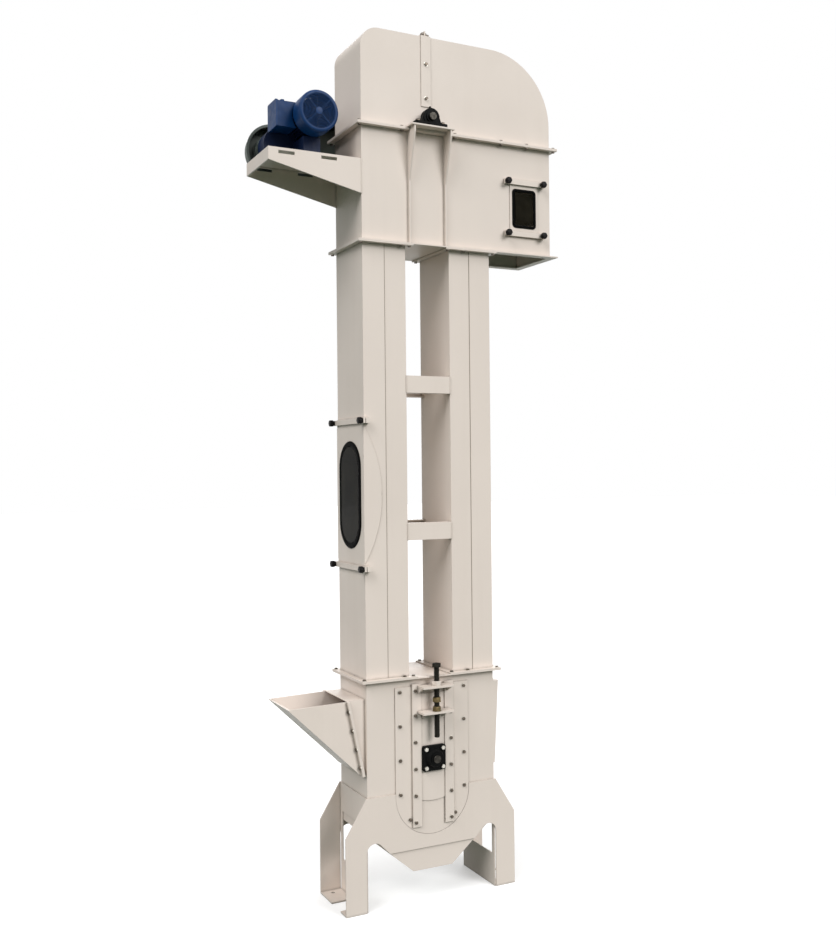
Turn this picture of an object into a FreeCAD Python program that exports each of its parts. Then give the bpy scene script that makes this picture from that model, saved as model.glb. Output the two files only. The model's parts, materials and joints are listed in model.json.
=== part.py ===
import FreeCAD, Part
import math
import os
from FreeCAD import Vector

# Bucket elevator: a belt with buckets runs up one leg and down the other,
# between a boot that stands on the floor and a head with its drive.
# Millimetres. X runs from the feed side to the discharge side, Y from front to back,
# Z up. The origin is on the floor, midway between the legs and midway in depth.

# Casing sizes
casing_depth = 254.0
leg_width = 180.0
leg_gap = 190.0
leg_sheet = 2.5
casing_sheet = 3.0
flange_width = 24.0
flange_sheet = 5.0

# Shaft heights above the floor
head_shaft_height = 3010.5
boot_shaft_height = 551.0

# Head and hood
head_case_height = 441.0
hood_rise = 323.5
head_reach = 566.0
hood_corner_radius = 75.0
hood_shoulder_radius = 276.0
hood_sheet = 2.5
seam_sheet = 2.5
seam_height = 24.0
strap_half_width = 21.0
strap_sheet = 3.0
strap_start = 52.0
outlet_wall_margin = 10.0
outlet_start = 300.0
throat_rise = 165.0
throat_lean = 38.0

# Boot and its stand
boot_floor = 122.0
boot_floor_half_width = 84.0
boot_slope_top = 282.0
stand_sheet = 5.0
stand_top = 428.0
stand_shoulder = 290.0
stand_half_width = 366.0
stand_leg_inner = 281.0
stand_bridge_bottom = 207.0
stand_arch_radius = 34.0
stand_arch_height = 222.0
web_sheet = 4.0
web_window_low = 127.0
web_window_high = 316.0
web_window_half_depth = 108.0
foot_sheet = 6.0
foot_tab_rear = 114.0
foot_tab_front = 52.0
anchor_x = 325.0
anchor_y = 100.0
anchor_hole_radius = 8.0

# Inlet hopper and its neck
inlet_half_width = 112.0
inlet_drop = 69.0
inlet_height = 286.0
inlet_neck_root = 6.0
inlet_neck_reach = 66.0
inlet_flange_width = 19.0
inlet_tip_reach = 305.0
inlet_tip_drop = 8.0
hopper_top_room = 40.0
blank_neck_reach = 18.0

# Belt, buckets and pulleys
belt_width = 200.0
belt_thickness = 6.0
pulley_radius = 125.0
pulley_width = 220.0
pulley_wall = 6.0
belt_gap = 0.3
bucket_width = 180.0
bucket_projection = 100.0
bucket_height = 105.0
bucket_lip_height = 74.0
bucket_sheet = 2.5
bucket_toe_radius = 30.0
bucket_count = 20
wing_count = 10

# Shafts and bearings
head_shaft_radius = 15.0
boot_shaft_radius = 15.0
running_gap = 0.05
pillow_length = 140.0
pillow_width = 38.0
pillow_height = 36.5
pillow_foot = 15.0
pillow_hub_radius = 34.0
pillow_y = 162.0
shelf_sheet = 6.0
shelf_half_length = 92.0
rib_x = 78.0
rib_sheet = 6.0
rib_top_reach = 62.0
rib_foot_reach = 13.0
rib_taper = 190.0
flange_bearing_side = 97.0
flange_bearing_pitch = 72.0
flange_bearing_sheet = 13.0
flange_bearing_depth = 30.0

# Take-up at the boot
cover_half_width = 158.0
cover_above_bracket = 5.0
cover_round_centre = 415.0
cover_sheet = 4.0
cover_overlap = 32.0
rail_inner = 51.0
rail_outer = 89.0
rail_above_bracket = 6.0
rail_foot_margin = 8.0
rail_sheet = 8.0
rail_lip = 12.0
slide_sheet = 3.4
slide_gap = 0.3
slide_top_drop = 26.0
slide_foot = 165.0
slide_sag = 10.0
shaft_slot_half = 22.0
takeup_down = 50.0
takeup_up = 22.0
screw_radius = 11.0
screw_above_bracket = 79.0
screw_below_bracket = 92.0
screw_off_slide = 35.8
bracket_rise = 177.0
bracket_spacing = 98.0
boot_top_rise = 41.0
bracket_sheet = 8.0
cheek_sheet = 6.0
cheek_height = 24.0
bracket_half_width = 66.0
bracket_reach = 51.0
nut_flats = 32.0
nut_height = 18.0
lock_nut_rise = 62.0

# Inspection door on the feed leg
door_low = 1278.0
door_height = 581.0
door_bar_margin = 12.0
door_sheet = 3.0
door_ear_depth = 70.0
window_half_height = 207.0
window_half_width = 104.0
window_rise = 288.0
seal_ring = 22.0
glass_sheet = 5.0
bar_width = 20.0
bar_sheet = 8.0
knob_y = 140.0

# Slots in the platform's sides and holes in its top, from its tip
platform_slots = (70.0, 236.0)
platform_slot_length = 62.0
platform_slot_high = 10.0
platform_slot_low = 22.0
platform_holes = (34.0, 190.0, 300.0)
platform_hole_line = 75.0
platform_hole_radius = 8.0

# Places of the casing's bolts, from the edges that they are near
cover_bolt_inset = 20.0
cover_bolt_end = 18.0
cover_bolt_foot = 8.0
cover_low_bolt_x = 98.0
cover_low_bolt_drop = 92.0
rail_bolt_inset = 12.0
rail_bolt_end = 18.0
rail_top_bolt_drop = 8.0
shelf_bolt_gaps = (18.0, 28.0)
hatch_bolt_places = (-111.0, 9.0)
inlet_bolt_flats = 10.0
inlet_bolt_head = 5.0
inlet_bolt_inset = 7.5

# Inspection hatch on the head
hatch_end_gap = 125.0
hatch_drop = 252.0
hatch_half_width = 66.0
hatch_half_height = 112.0
hatch_glass_half_width = 50.0
hatch_glass_half_height = 73.0
hatch_knob_x = 83.0
hatch_bar_z = 104.0

# Knobs
knob_radius = 13.5
knob_length = 20.0
knob_lobes = 6
knob_scoop = 2.5
knob_stud_radius = 4.0
knob_stud_length = 24.0

# Drive
platform_reach = 640.0
platform_drop = 131.0
platform_tip_height = 47.0
platform_root_height = 131.0
platform_sheet = 5.0
motor_x = -432.0
motor_rise = 164.0
motor_radius = 60.0
fin_radius = 72.0
fin_count = 20
cowl_radius = 78.0
cowl_front = -104.0
cowl_back = -34.0
cowl_sheet = 2.0
motor_back = 82.0
gear_front = 82.0
gear_back = 160.0
gear_x = -514.0
gear_rise = 76.0
gear_shaft_radius = 14.0
gear_case_radius = 70.0
sheave_y = 207.0
sheave_width = 32.0
drive_sheave_radius = 70.0
head_sheave_radius = 100.0
groove_depth = 11.0
groove_half_width = 6.0
groove_offset = 7.5
guard_front = 184.0
guard_back = 232.0
guard_gap = 30.0
guard_sheet = 2.0
guard_arm_width = 30.0
guard_arm_offset = 32.0
guard_stay_offset = 85.0

# Legs and ties
tie_height = 66.0
tie_sheet = 5.0
tie_low = 1423.0
tie_high = 1989.0
tie_fold = 30.0

# Fasteners
bolt_flats = 13.0
bolt_head = 5.5
bolt_hole_radius = 5.5

# Places that follow from the sizes
half_depth = casing_depth / 2
leg_inner = leg_gap / 2
leg_outer = leg_inner + leg_width
leg_middle = (leg_inner + leg_outer) / 2
front = -half_depth
flange_line = half_depth + flange_width / 2
hood_split = 0.0
belt_inner_radius = pulley_radius + belt_gap
belt_outer_radius = belt_inner_radius + belt_thickness
hood_base = head_shaft_height - pillow_height - shelf_sheet - flange_sheet
hood_top = head_shaft_height + hood_rise
head_bottom = hood_base - head_case_height
platform_top = hood_base - platform_drop
motor_z = platform_top + motor_rise
gear_z = platform_top + gear_rise
hatch_x = head_reach - hatch_end_gap
hatch_z = hood_base - hatch_drop
low_bracket_height = boot_shaft_height + bracket_rise
top_bracket_height = low_bracket_height + bracket_spacing
cover_top = top_bracket_height + cover_above_bracket
rail_top = top_bracket_height + bracket_sheet + rail_above_bracket
slide_top = top_bracket_height - slide_top_drop
slide_bottom = boot_shaft_height - slide_foot
boot_top = top_bracket_height + boot_top_rise
inlet_high = boot_top - inlet_drop
inlet_low = inlet_high - inlet_height
door_high = door_low + door_height
door_bar_low = door_low + door_bar_margin
door_bar_high = door_high - door_bar_margin
window_centre = door_low + window_rise
cover_face = half_depth + cover_sheet
slide_face = cover_face + slide_gap + slide_sheet
screw_out = slide_face + screw_off_slide
shelf_top = hood_base + flange_sheet + shelf_sheet


def save(name, shapes):
    """Write one node from a list of solids."""
    shape = shapes[0] if len(shapes) == 1 else Part.makeCompound(shapes)
    shape.exportStep("parts/" + name + ".step")


def block(x_low, x_high, y_low, y_high, z_low, z_high):
    size = (x_high - x_low, y_high - y_low, z_high - z_low)
    return Part.makeBox(*size, Vector(x_low, y_low, z_low))


def rod_x(y, z, radius, start, end):
    return Part.makeCylinder(radius, end - start, Vector(start, y, z), Vector(1, 0, 0))


def rod_y(x, z, radius, start, end):
    return Part.makeCylinder(radius, end - start, Vector(x, start, z), Vector(0, 1, 0))


def rod_z(x, y, radius, start, end):
    return Part.makeCylinder(radius, end - start, Vector(x, y, start), Vector(0, 0, 1))


def outline(points, place):
    """Close a wire through the points; one marked via is the middle of an arc."""
    count = len(points)
    edges = []
    step = 0
    while step < count:
        begin = place(points[step][0], points[step][1])
        after = points[(step + 1) % count]
        if len(after) == 3:
            end = points[(step + 2) % count]
            arc = Part.Arc(begin, place(after[0], after[1]), place(end[0], end[1]))
            edges.append(arc.toShape())
            step += 2
        else:
            edges.append(Part.LineSegment(begin, place(after[0], after[1])).toShape())
            step += 1
    return Part.Wire(edges)


def plate_y(points, y_low, y_high):
    """A flat outline in X and Z, as thick as the span in Y."""
    wire = outline(points, lambda x, z: Vector(x, y_low, z))
    return Part.Face(wire).extrude(Vector(0, y_high - y_low, 0))


def plate_x(points, x_low, x_high):
    """A flat outline in Y and Z, as thick as the span in X."""
    wire = outline(points, lambda y, z: Vector(x_low, y, z))
    return Part.Face(wire).extrude(Vector(x_high - x_low, 0, 0))


def hexagon(at, direction, flats, height):
    """A hexagonal head or nut that starts at a point and grows in a direction."""
    corner = flats / math.sqrt(3)
    points = []
    for turn in range(7):
        angle = math.radians(60 * turn)
        points.append(Vector(corner * math.cos(angle), corner * math.sin(angle), 0))
    head = Part.Face(Part.makePolygon(points)).extrude(Vector(0, 0, height))
    head.Placement = FreeCAD.Placement(at, FreeCAD.Rotation(Vector(0, 0, 1), direction))
    return head


def rear_of(shape):
    """The same piece on the back of the elevator."""
    return shape.mirror(Vector(0, 0, 0), Vector(0, 1, 0))


def front_and_rear(shape):
    return [shape, rear_of(shape)]


def mirrored_x(shape):
    return shape.mirror(Vector(0, 0, 0), Vector(1, 0, 0))


def frame_z(x_low, x_high, y_half, margin, z_low, z_high):
    """A flat rectangular ring that lies level around an opening."""
    outer = block(x_low - margin, x_high + margin, -y_half - margin, y_half + margin, z_low, z_high)
    return outer.cut(block(x_low, x_high, -y_half, y_half, z_low - 1, z_high + 1))


def boot_section(inset, top):
    """Straight sides that slope in to a flat floor, drawn in by an even wall."""
    run = leg_outer - boot_floor_half_width
    rise = boot_slope_top - boot_floor
    length = math.hypot(run, rise)
    side = leg_outer - inset
    corner = boot_slope_top + inset * (length - rise) / run
    foot = boot_floor_half_width - inset * (length - run) / rise
    floor = boot_floor + inset
    return [(-side, top), (-side, corner), (-foot, floor), (foot, floor), (side, corner), (side, top)]


def neck_section(reach, grow):
    """The wedge between the boot wall and the sloping inlet flange."""
    base = -leg_outer
    root = inlet_neck_root
    return [(base, inlet_low - grow), (base, inlet_high + grow),
            (base - reach - grow * 0.3, inlet_high + grow), (base - root, inlet_low - grow)]


def make_boot():
    shell = plate_y(boot_section(0, boot_top - flange_sheet), -half_depth, half_depth)
    inside = plate_y(boot_section(casing_sheet, boot_top),
                     casing_sheet - half_depth, half_depth - casing_sheet)
    neck = plate_y(neck_section(inlet_neck_reach, 0), -inlet_half_width, inlet_half_width)
    blank = mirrored_x(plate_y(neck_section(blank_neck_reach, 20), -half_depth, half_depth))
    shape = shell.fuse([neck, blank]).cut(inside)
    shape = shape.cut(inlet_passage())
    hole = cover_outline(cover_half_width - cover_overlap, cover_top - cover_overlap)
    shape = shape.cut(plate_y(hole, -half_depth - 1, half_depth + 1))
    shape = shape.fuse(inlet_flange(0, flange_sheet))
    return shape.removeSplitter()


def make_boot_lid():
    """The flanged plate on top of the boot, open under both legs."""
    edge = half_depth + flange_width
    side = leg_outer + flange_width
    lid = block(-side, side, -edge, edge, boot_top - flange_sheet, boot_top)
    for leg in (-1, 1):
        lid = lid.cut(leg_hollow(leg, boot_top - 2 * flange_sheet, boot_top + 1))
    return lid


def inlet_direction():
    """Unit vectors along the sloping inlet flange, upward, and out from it."""
    length = inlet_length()
    up = ((inlet_neck_root - inlet_neck_reach) / length, (inlet_high - inlet_low) / length)
    out = (-up[1], up[0])
    return up, out


def inlet_point(along, off):
    """A point in X and Z measured along the sloping flange and out from it."""
    up, out = inlet_direction()
    start = -leg_outer - inlet_neck_root
    return (start + up[0] * along + out[0] * off, inlet_low + up[1] * along + out[1] * off)


def inlet_length():
    return math.hypot(inlet_neck_reach - inlet_neck_root, inlet_high - inlet_low)


def inlet_passage():
    """The way for the feed through the neck and the boot wall."""
    low = inlet_point(inlet_flange_width, 1)
    high = inlet_point(inlet_length() - casing_sheet, 1)
    points = [low, high, (-leg_outer + casing_sheet + 1, inlet_high - casing_sheet),
              (-leg_outer + casing_sheet + 1, inlet_low + inlet_flange_width)]
    return plate_y(points, casing_sheet - inlet_half_width, inlet_half_width - casing_sheet)


def inlet_flange(off, thickness):
    """The sloping flange ring between the neck and the hopper."""
    length = inlet_length()
    outer = plate_y([inlet_point(0, off), inlet_point(length, off),
                     inlet_point(length, off + thickness), inlet_point(0, off + thickness)],
                    -half_depth, half_depth)
    inner = plate_y([inlet_point(inlet_flange_width, off - 1),
                     inlet_point(length - casing_sheet, off - 1),
                     inlet_point(length - casing_sheet, off + thickness + 1),
                     inlet_point(inlet_flange_width, off + thickness + 1)],
                    casing_sheet - inlet_half_width, inlet_half_width - casing_sheet)
    return outer.cut(inner)


def hopper_section(inset):
    """The side of the hopper: an open top, a sloping floor and the flange side."""
    length = inlet_length()
    tip = (-leg_outer - inlet_tip_reach + inset * 3, inlet_high - inlet_tip_drop)
    off = flange_sheet - 1 if inset else 2 * flange_sheet
    low = inlet_point(inset * 1.2, off)
    high = inlet_point(length, off)
    if inset == 0:
        return [tip, high, low]
    above = hopper_top_room
    return [(tip[0], tip[1] - inset), (tip[0], tip[1] + above), (high[0], high[1] + above), low]


def make_inlet_hopper():
    outer = plate_y(hopper_section(0), -inlet_half_width, inlet_half_width)
    inner = plate_y(hopper_section(casing_sheet), casing_sheet - inlet_half_width,
                    inlet_half_width - casing_sheet)
    shape = outer.fuse(inlet_flange(flange_sheet, flange_sheet)).cut(inner)
    return shape.removeSplitter()


def cover_outline(half_width, top):
    """Straight sides with a half-round bottom."""
    low = cover_round_centre
    return [(-half_width, top), (-half_width, low), (0, low - half_width, "via"),
            (half_width, low), (half_width, top)]


def shaft_slot():
    """The slot that lets the boot shaft travel with the take-up."""
    low = boot_shaft_height - takeup_down
    high = boot_shaft_height + takeup_up
    half = shaft_slot_half
    return [(-half, high), (-half, low), (0, low - half, "via"), (half, low), (half, high),
            (0, high + half, "via")]


def make_cover():
    """The front cover, cut through for the shaft."""
    shape = plate_y(cover_outline(cover_half_width, cover_top), -cover_face, front)
    return shape.cut(plate_y(shaft_slot(), -cover_face - 1, front + 1))


def make_stand_plate():
    """The front plate of the stand, with its arches and the seat for the cover."""
    arch_x = stand_leg_inner - stand_arch_radius
    turn = stand_arch_radius * math.sqrt(0.5)
    foot = arch_x - turn - (stand_arch_height + turn - stand_bridge_bottom)
    half = [(stand_leg_inner, stand_top), (stand_half_width, stand_shoulder), (stand_half_width, 0),
            (stand_leg_inner, 0), (stand_leg_inner, stand_arch_height),
            (arch_x, stand_arch_height + stand_arch_radius, "via"),
            (arch_x - turn, stand_arch_height + turn), (foot, stand_bridge_bottom)]
    other = [(-item[0],) + tuple(item[1:]) for item in reversed(half)]
    shape = plate_y(half + other, front - stand_sheet, front)
    seat = cover_outline(cover_half_width + 1, cover_top)
    return shape.cut(plate_y(seat, front - stand_sheet - 1, front + 1))


def make_web():
    """The left web between the stand plates, folded out at the floor into two feet."""
    low = -leg_outer - web_sheet
    shape = block(low, -leg_outer, -half_depth, half_depth, 0, stand_top)
    window = block(low - 1, -leg_outer + 1, -web_window_half_depth, web_window_half_depth,
                   web_window_low, web_window_high)
    shape = shape.cut(window)
    tip = -stand_half_width
    rear = block(tip, low, half_depth - foot_tab_rear, half_depth, 0, foot_sheet)
    near = block(tip, low, -half_depth, foot_tab_front - half_depth, 0, foot_sheet)
    shape = shape.fuse([rear, near])
    for y in (-anchor_y, anchor_y):
        shape = shape.cut(rod_z(-anchor_x, y, anchor_hole_radius, -1, foot_sheet + 1))
    return shape.removeSplitter()


def rail_bottom():
    """Where the rails end, just inside the round edge of the cover."""
    return cover_round_centre - math.sqrt(cover_half_width ** 2 - rail_outer ** 2) + rail_foot_margin


def make_rail(side):
    """One guide rail, rebated to hold the slide plate and shaped to the cover."""
    low, high = sorted((side * rail_inner, side * rail_outer))
    bottom = rail_bottom()
    shape = block(low, high, -cover_face - rail_sheet, -cover_face, bottom, rail_top)
    inner = side * (rail_inner + rail_lip)
    low, high = sorted((side * (rail_inner - 1), inner))
    rebate = block(low, high, -slide_face - slide_gap, -cover_face + 1, bottom - 1, rail_top + 1)
    return shape.cut(rebate)


def bracket_cheek(side, height, back, reach):
    """A gusset under one end of a take-up bracket."""
    low = side * (rail_outer - 30) if back == "rail" else side * (rail_inner - 10)
    low, high = sorted((low, low + side * cheek_sheet))
    start = -cover_face - rail_sheet if back == "rail" else -slide_face
    points = [(start, height), (start - reach * 0.8, height), (start, height - cheek_height)]
    return plate_x(points, low, high)


def make_top_bracket():
    """The fixed bracket across the rails, with its threaded nut."""
    back = -cover_face - rail_sheet
    shape = block(-bracket_half_width, bracket_half_width, back - bracket_reach, back,
                  top_bracket_height, top_bracket_height + bracket_sheet)
    cheeks = [bracket_cheek(side, top_bracket_height, "rail", bracket_reach) for side in (-1, 1)]
    nut = hexagon(Vector(0, -screw_out, top_bracket_height + bracket_sheet), Vector(0, 0, 1),
                  nut_flats, nut_height)
    shape = shape.fuse(cheeks + [nut])
    hole = rod_z(0, -screw_out, screw_radius + running_gap, top_bracket_height - 1,
                 top_bracket_height + bracket_sheet + nut_height + 1)
    return shape.cut(hole).removeSplitter()


def make_slide():
    """The slide plate with the bracket that the screw pushes."""
    half = rail_inner + rail_lip - slide_gap
    plate = plate_y([(-half, slide_top), (-half, slide_bottom + slide_sag), (0, slide_bottom, "via"),
                     (half, slide_bottom + slide_sag), (half, slide_top)],
                    -slide_face, -slide_face + slide_sheet)
    back = -slide_face
    out = -cover_face - rail_sheet - slide_gap
    neck = rail_inner - 4
    top = low_bracket_height + bracket_sheet
    reach = -cover_face - rail_sheet - bracket_reach
    arm = block(-neck, neck, reach, back, low_bracket_height, top)
    wide = block(-bracket_half_width, bracket_half_width, reach, out, low_bracket_height, top)
    cheeks = [bracket_cheek(side, low_bracket_height, "slide", bracket_reach) for side in (-1, 1)]
    shape = plate.fuse([arm, wide] + cheeks)
    hole = rod_z(0, -screw_out, screw_radius + running_gap, low_bracket_height - 1, top + 1)
    shape = shape.cut(hole)
    opening = rod_y(0, boot_shaft_height, boot_shaft_radius + 6, -slide_face - 1, -cover_face + 1)
    return shape.cut(opening).removeSplitter()


def make_screw():
    """The take-up screw with its head and the two nuts locked on it."""
    screw_top = top_bracket_height + screw_above_bracket
    shape = rod_z(0, -screw_out, screw_radius, low_bracket_height - screw_below_bracket, screw_top)
    head = hexagon(Vector(0, -screw_out, screw_top), Vector(0, 0, 1), nut_flats, nut_height * 0.8)
    push = low_bracket_height + bracket_sheet + slide_gap
    nuts = [hexagon(Vector(0, -screw_out, start), Vector(0, 0, 1), nut_flats - 2, nut_height)
            for start in (push, low_bracket_height + lock_nut_rise - nut_height)]
    return shape.fuse([head] + nuts).removeSplitter()


def make_boot_bearing():
    """A square flange bearing bolted on the slide plate."""
    half = flange_bearing_side / 2
    z = boot_shaft_height
    base = block(-half, half, -slide_face - flange_bearing_sheet, -slide_face, z - half, z + half)
    base = base.makeFillet(9, [edge for edge in base.Edges if is_along(edge, 1)])
    hub = Part.makeCone(half * 0.80, half * 0.62, flange_bearing_depth - flange_bearing_sheet,
                        Vector(0, -slide_face - flange_bearing_sheet, z), Vector(0, -1, 0))
    ring = rod_y(0, z, boot_shaft_radius + 7, -slide_face - flange_bearing_depth - 4, -slide_face)
    shape = base.fuse([hub, ring])
    pitch = flange_bearing_pitch / 2
    bolts = [hexagon(Vector(x, -slide_face - flange_bearing_sheet, z + up), Vector(0, -1, 0), 15, 7)
             for x in (-pitch, pitch) for up in (-pitch, pitch)]
    shape = shape.fuse(bolts)
    bore = rod_y(0, z, boot_shaft_radius + running_gap, -slide_face - 60, -slide_face + 1)
    return shape.cut(bore).removeSplitter()


def is_along(edge, axis):
    """Whether a straight edge runs along X, Y or Z (0, 1 or 2)."""
    if len(edge.Vertexes) != 2:
        return False
    line = edge.Vertexes[1].Point - edge.Vertexes[0].Point
    return abs(abs(line[axis]) - line.Length) < 0.001


def make_head_bearing():
    """A pillow block bearing on its shelf, front side."""
    half = pillow_length / 2
    z = shelf_top + pillow_height
    y = -pillow_y
    w = pillow_width / 2
    foot = block(-half, half, y - w, y + w, shelf_top, shelf_top + pillow_foot)
    foot = foot.makeFillet(12, [edge for edge in foot.Edges if is_along(edge, 2)])
    hub = rod_y(0, z, pillow_hub_radius, y - w * 0.75, y + w * 0.75)
    cheek = plate_y([(-half * 0.62, shelf_top + pillow_foot), (-pillow_hub_radius * 0.9, z + 12),
                     (pillow_hub_radius * 0.9, z + 12), (half * 0.62, shelf_top + pillow_foot)],
                    y - w * 0.6, y + w * 0.6)
    ring = rod_y(0, z, head_shaft_radius + 8, y - w, y + w)
    nipple = rod_z(0, y, 4, z + pillow_hub_radius - 1, z + pillow_hub_radius + 9)
    bolts = [hexagon(Vector(x, y, shelf_top + pillow_foot), Vector(0, 0, 1), 17, 9)
             for x in (-half + 17, half - 17)]
    shape = foot.fuse([hub, cheek, ring, nipple] + bolts)
    bore = rod_y(0, z, head_shaft_radius + running_gap, y - 60, y + 60)
    return shape.cut(bore).removeSplitter()


def make_bearing_bracket():
    """The shelf under the front head bearing and its two tapering ribs."""
    top = hood_base + flange_sheet
    outer = half_depth + rib_top_reach
    shelf = block(-shelf_half_length, shelf_half_length, -outer - 2, -half_depth - hood_sheet - 2,
                  top, shelf_top)
    clear = half_depth + flange_width + 0.5
    low = head_bottom + flange_sheet
    under = hood_base - flange_sheet
    points = [(-half_depth, under), (-clear, under), (-clear, top), (-outer, top),
              (-outer, under - 14), (-half_depth - rib_foot_reach, under - rib_taper),
              (-half_depth - rib_foot_reach, low), (-half_depth, low)]
    ribs = [plate_x(points, side * rib_x - rib_sheet / 2, side * rib_x + rib_sheet / 2)
            for side in (-1, 1)]
    return shelf.fuse(ribs).removeSplitter()


def leg_hollow(side, low, high):
    """The space inside one leg."""
    left, right = sorted((side * (leg_inner + leg_sheet), side * (leg_outer - leg_sheet)))
    return block(left, right, leg_sheet - half_depth, half_depth - leg_sheet, low, high)


def make_leg(side):
    """The two folded halves of one leg, which meet at a seam halfway along its depth face."""
    lap = 1.2
    halves = []
    for near, far, inset in ((leg_inner, leg_middle, lap), (leg_middle, leg_outer, 0)):
        low, high = sorted((side * near, side * far))
        half = half_depth - inset
        wall = block(low, high, -half, half, boot_top, head_bottom)
        halves.append(wall.cut(leg_hollow(side, boot_top - 1, head_bottom + 1)))
    return halves


def make_leg_flanges(side):
    """The welded angle rings at the foot and the top of one leg."""
    rings = []
    for start in (boot_top, head_bottom - flange_sheet):
        left, right = sorted((side * leg_inner, side * leg_outer))
        ring = frame_z(left, right, half_depth, flange_width, start, start + flange_sheet)
        rings.append(ring)
    return rings


def window_outline(half_width, half_height):
    """An obround as high as the inspection window stands."""
    top = window_centre + half_height - half_width
    low = window_centre - half_height + half_width
    return [(-half_width, top), (-half_width, low), (0, low - half_width, "via"),
            (half_width, low), (half_width, top), (0, top + half_width, "via")]


def make_feed_leg():
    """The feed leg with its window opening and the lugs for the door knobs."""
    inner, outer = make_leg(-1)
    hole = window_outline(window_half_width - 6, window_half_height - 6)
    outer = outer.cut(plate_x(hole, -leg_outer - 1, -leg_outer + leg_sheet + 1))
    lugs = []
    for z in (door_bar_low, door_bar_high):
        for side in (-1, 1):
            low, high = sorted((side * half_depth, side * (knob_y + 9)))
            lugs.append(block(-leg_outer, -leg_outer + 18, low, high, z - 10, z + 10))
    outer = outer.fuse(lugs)
    for z in (door_bar_low, door_bar_high):
        for side in (-1, 1):
            outer = outer.cut(rod_x(side * knob_y, z, knob_stud_radius + running_gap,
                                    -leg_outer - 1, -leg_outer + 17))
    return [outer.removeSplitter(), inner]


def make_leg_door():
    """The cover on the feed leg, with an ear folded round each corner."""
    face = -leg_outer - door_sheet
    shape = block(face, -leg_outer, -half_depth - door_sheet, half_depth + door_sheet,
                  door_low, door_high)
    for side in (-1, 1):
        for z in (door_bar_low, door_bar_high):
            notch = sorted((side * (half_depth + 0.5), side * (half_depth + 20)))
            shape = shape.cut(block(face - 1, -leg_outer + 1, notch[0], notch[1], z - 22, z + 22))
    low = door_bar_low + 24
    high = door_bar_high - 24
    middle = (low + high) / 2
    ear = plate_y([(-leg_outer, low), (-leg_outer, high),
                   (-leg_outer + door_ear_depth, middle, "via")],
                  front - door_sheet, front)
    shape = shape.fuse(front_and_rear(ear))
    hole = window_outline(window_half_width - seal_ring / 2, window_half_height - seal_ring / 2)
    return shape.cut(plate_x(hole, face - 1, -leg_outer + 1)).removeSplitter()


def make_leg_seal():
    """The rubber ring that holds the pane in the door."""
    face = -leg_outer - door_sheet
    outer = plate_x(window_outline(window_half_width, window_half_height), face - 5, face)
    sleeve = plate_x(window_outline(window_half_width - seal_ring / 2, window_half_height - seal_ring / 2),
                     face, face + 2)
    inner = plate_x(window_outline(window_half_width - seal_ring, window_half_height - seal_ring),
                    face - 6, face + 3)
    return outer.fuse(sleeve).cut(inner).removeSplitter()


def make_leg_glass():
    face = -leg_outer - door_sheet
    pane = window_outline(window_half_width - seal_ring, window_half_height - seal_ring)
    return plate_x(pane, face - 3, face - 3 + glass_sheet)


def make_knob(at, out):
    """A lobed clamp knob with its stud; out is the way that it faces."""
    points = []
    for turn in range(2 * knob_lobes):
        angle = math.pi * turn / knob_lobes
        reach = knob_radius if turn % 2 == 0 else knob_radius - knob_scoop
        points.append(Vector(reach * math.cos(angle), reach * math.sin(angle), 0))
    points.append(points[0])
    body = Part.Face(Part.makePolygon(points)).extrude(Vector(0, 0, knob_length))
    stud = Part.makeCylinder(knob_stud_radius, knob_stud_length, Vector(0, 0, -knob_stud_length))
    shape = body.fuse(stud).removeSplitter()
    shape.Placement = FreeCAD.Placement(at, FreeCAD.Rotation(Vector(0, 0, 1), out))
    return shape


def make_clamp_bars():
    """The bars that the knobs pull against the leg door and the head hatch."""
    bars = []
    face = -leg_outer - door_sheet
    for z in (door_bar_low, door_bar_high):
        bar = block(face - bar_sheet, face, -knob_y - 10, knob_y + 10, z - bar_width / 2, z + bar_width / 2)
        for y in (-knob_y, knob_y):
            bar = bar.cut(rod_x(y, z, knob_stud_radius + 0.6, face - 20, face + 1))
        bars.append(bar)
    back = front - door_sheet
    for up in (-hatch_bar_z, hatch_bar_z):
        z = hatch_z + up
        bar = block(hatch_x - hatch_knob_x - 10, hatch_x + hatch_knob_x + 10, back - bar_sheet, back,
                    z - bar_width / 2, z + bar_width / 2)
        for side in (-1, 1):
            bar = bar.cut(rod_y(hatch_x + side * hatch_knob_x, z, knob_stud_radius + 0.6,
                                back - 20, back + 1))
        bars.append(bar)
    return bars


def make_tie(level):
    """A channel between the legs, on the front."""
    low = level - tie_height / 2
    web = block(-leg_inner, leg_inner, front, front + tie_sheet, low, low + tie_height)
    folds = [block(-leg_inner, leg_inner, front, front + tie_fold, start, start + tie_sheet)
             for start in (low, low + tie_height - tie_sheet)]
    return web.fuse(folds).removeSplitter()


def hatch_window(margin, y_low, y_high):
    """A rectangle with round corners at the hatch, grown by a margin."""
    wide = hatch_glass_half_width + margin
    tall = hatch_glass_half_height + margin
    shape = block(hatch_x - wide, hatch_x + wide, y_low, y_high, hatch_z - tall, hatch_z + tall)
    return shape.makeFillet(6, [edge for edge in shape.Edges if is_along(edge, 1)])


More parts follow.
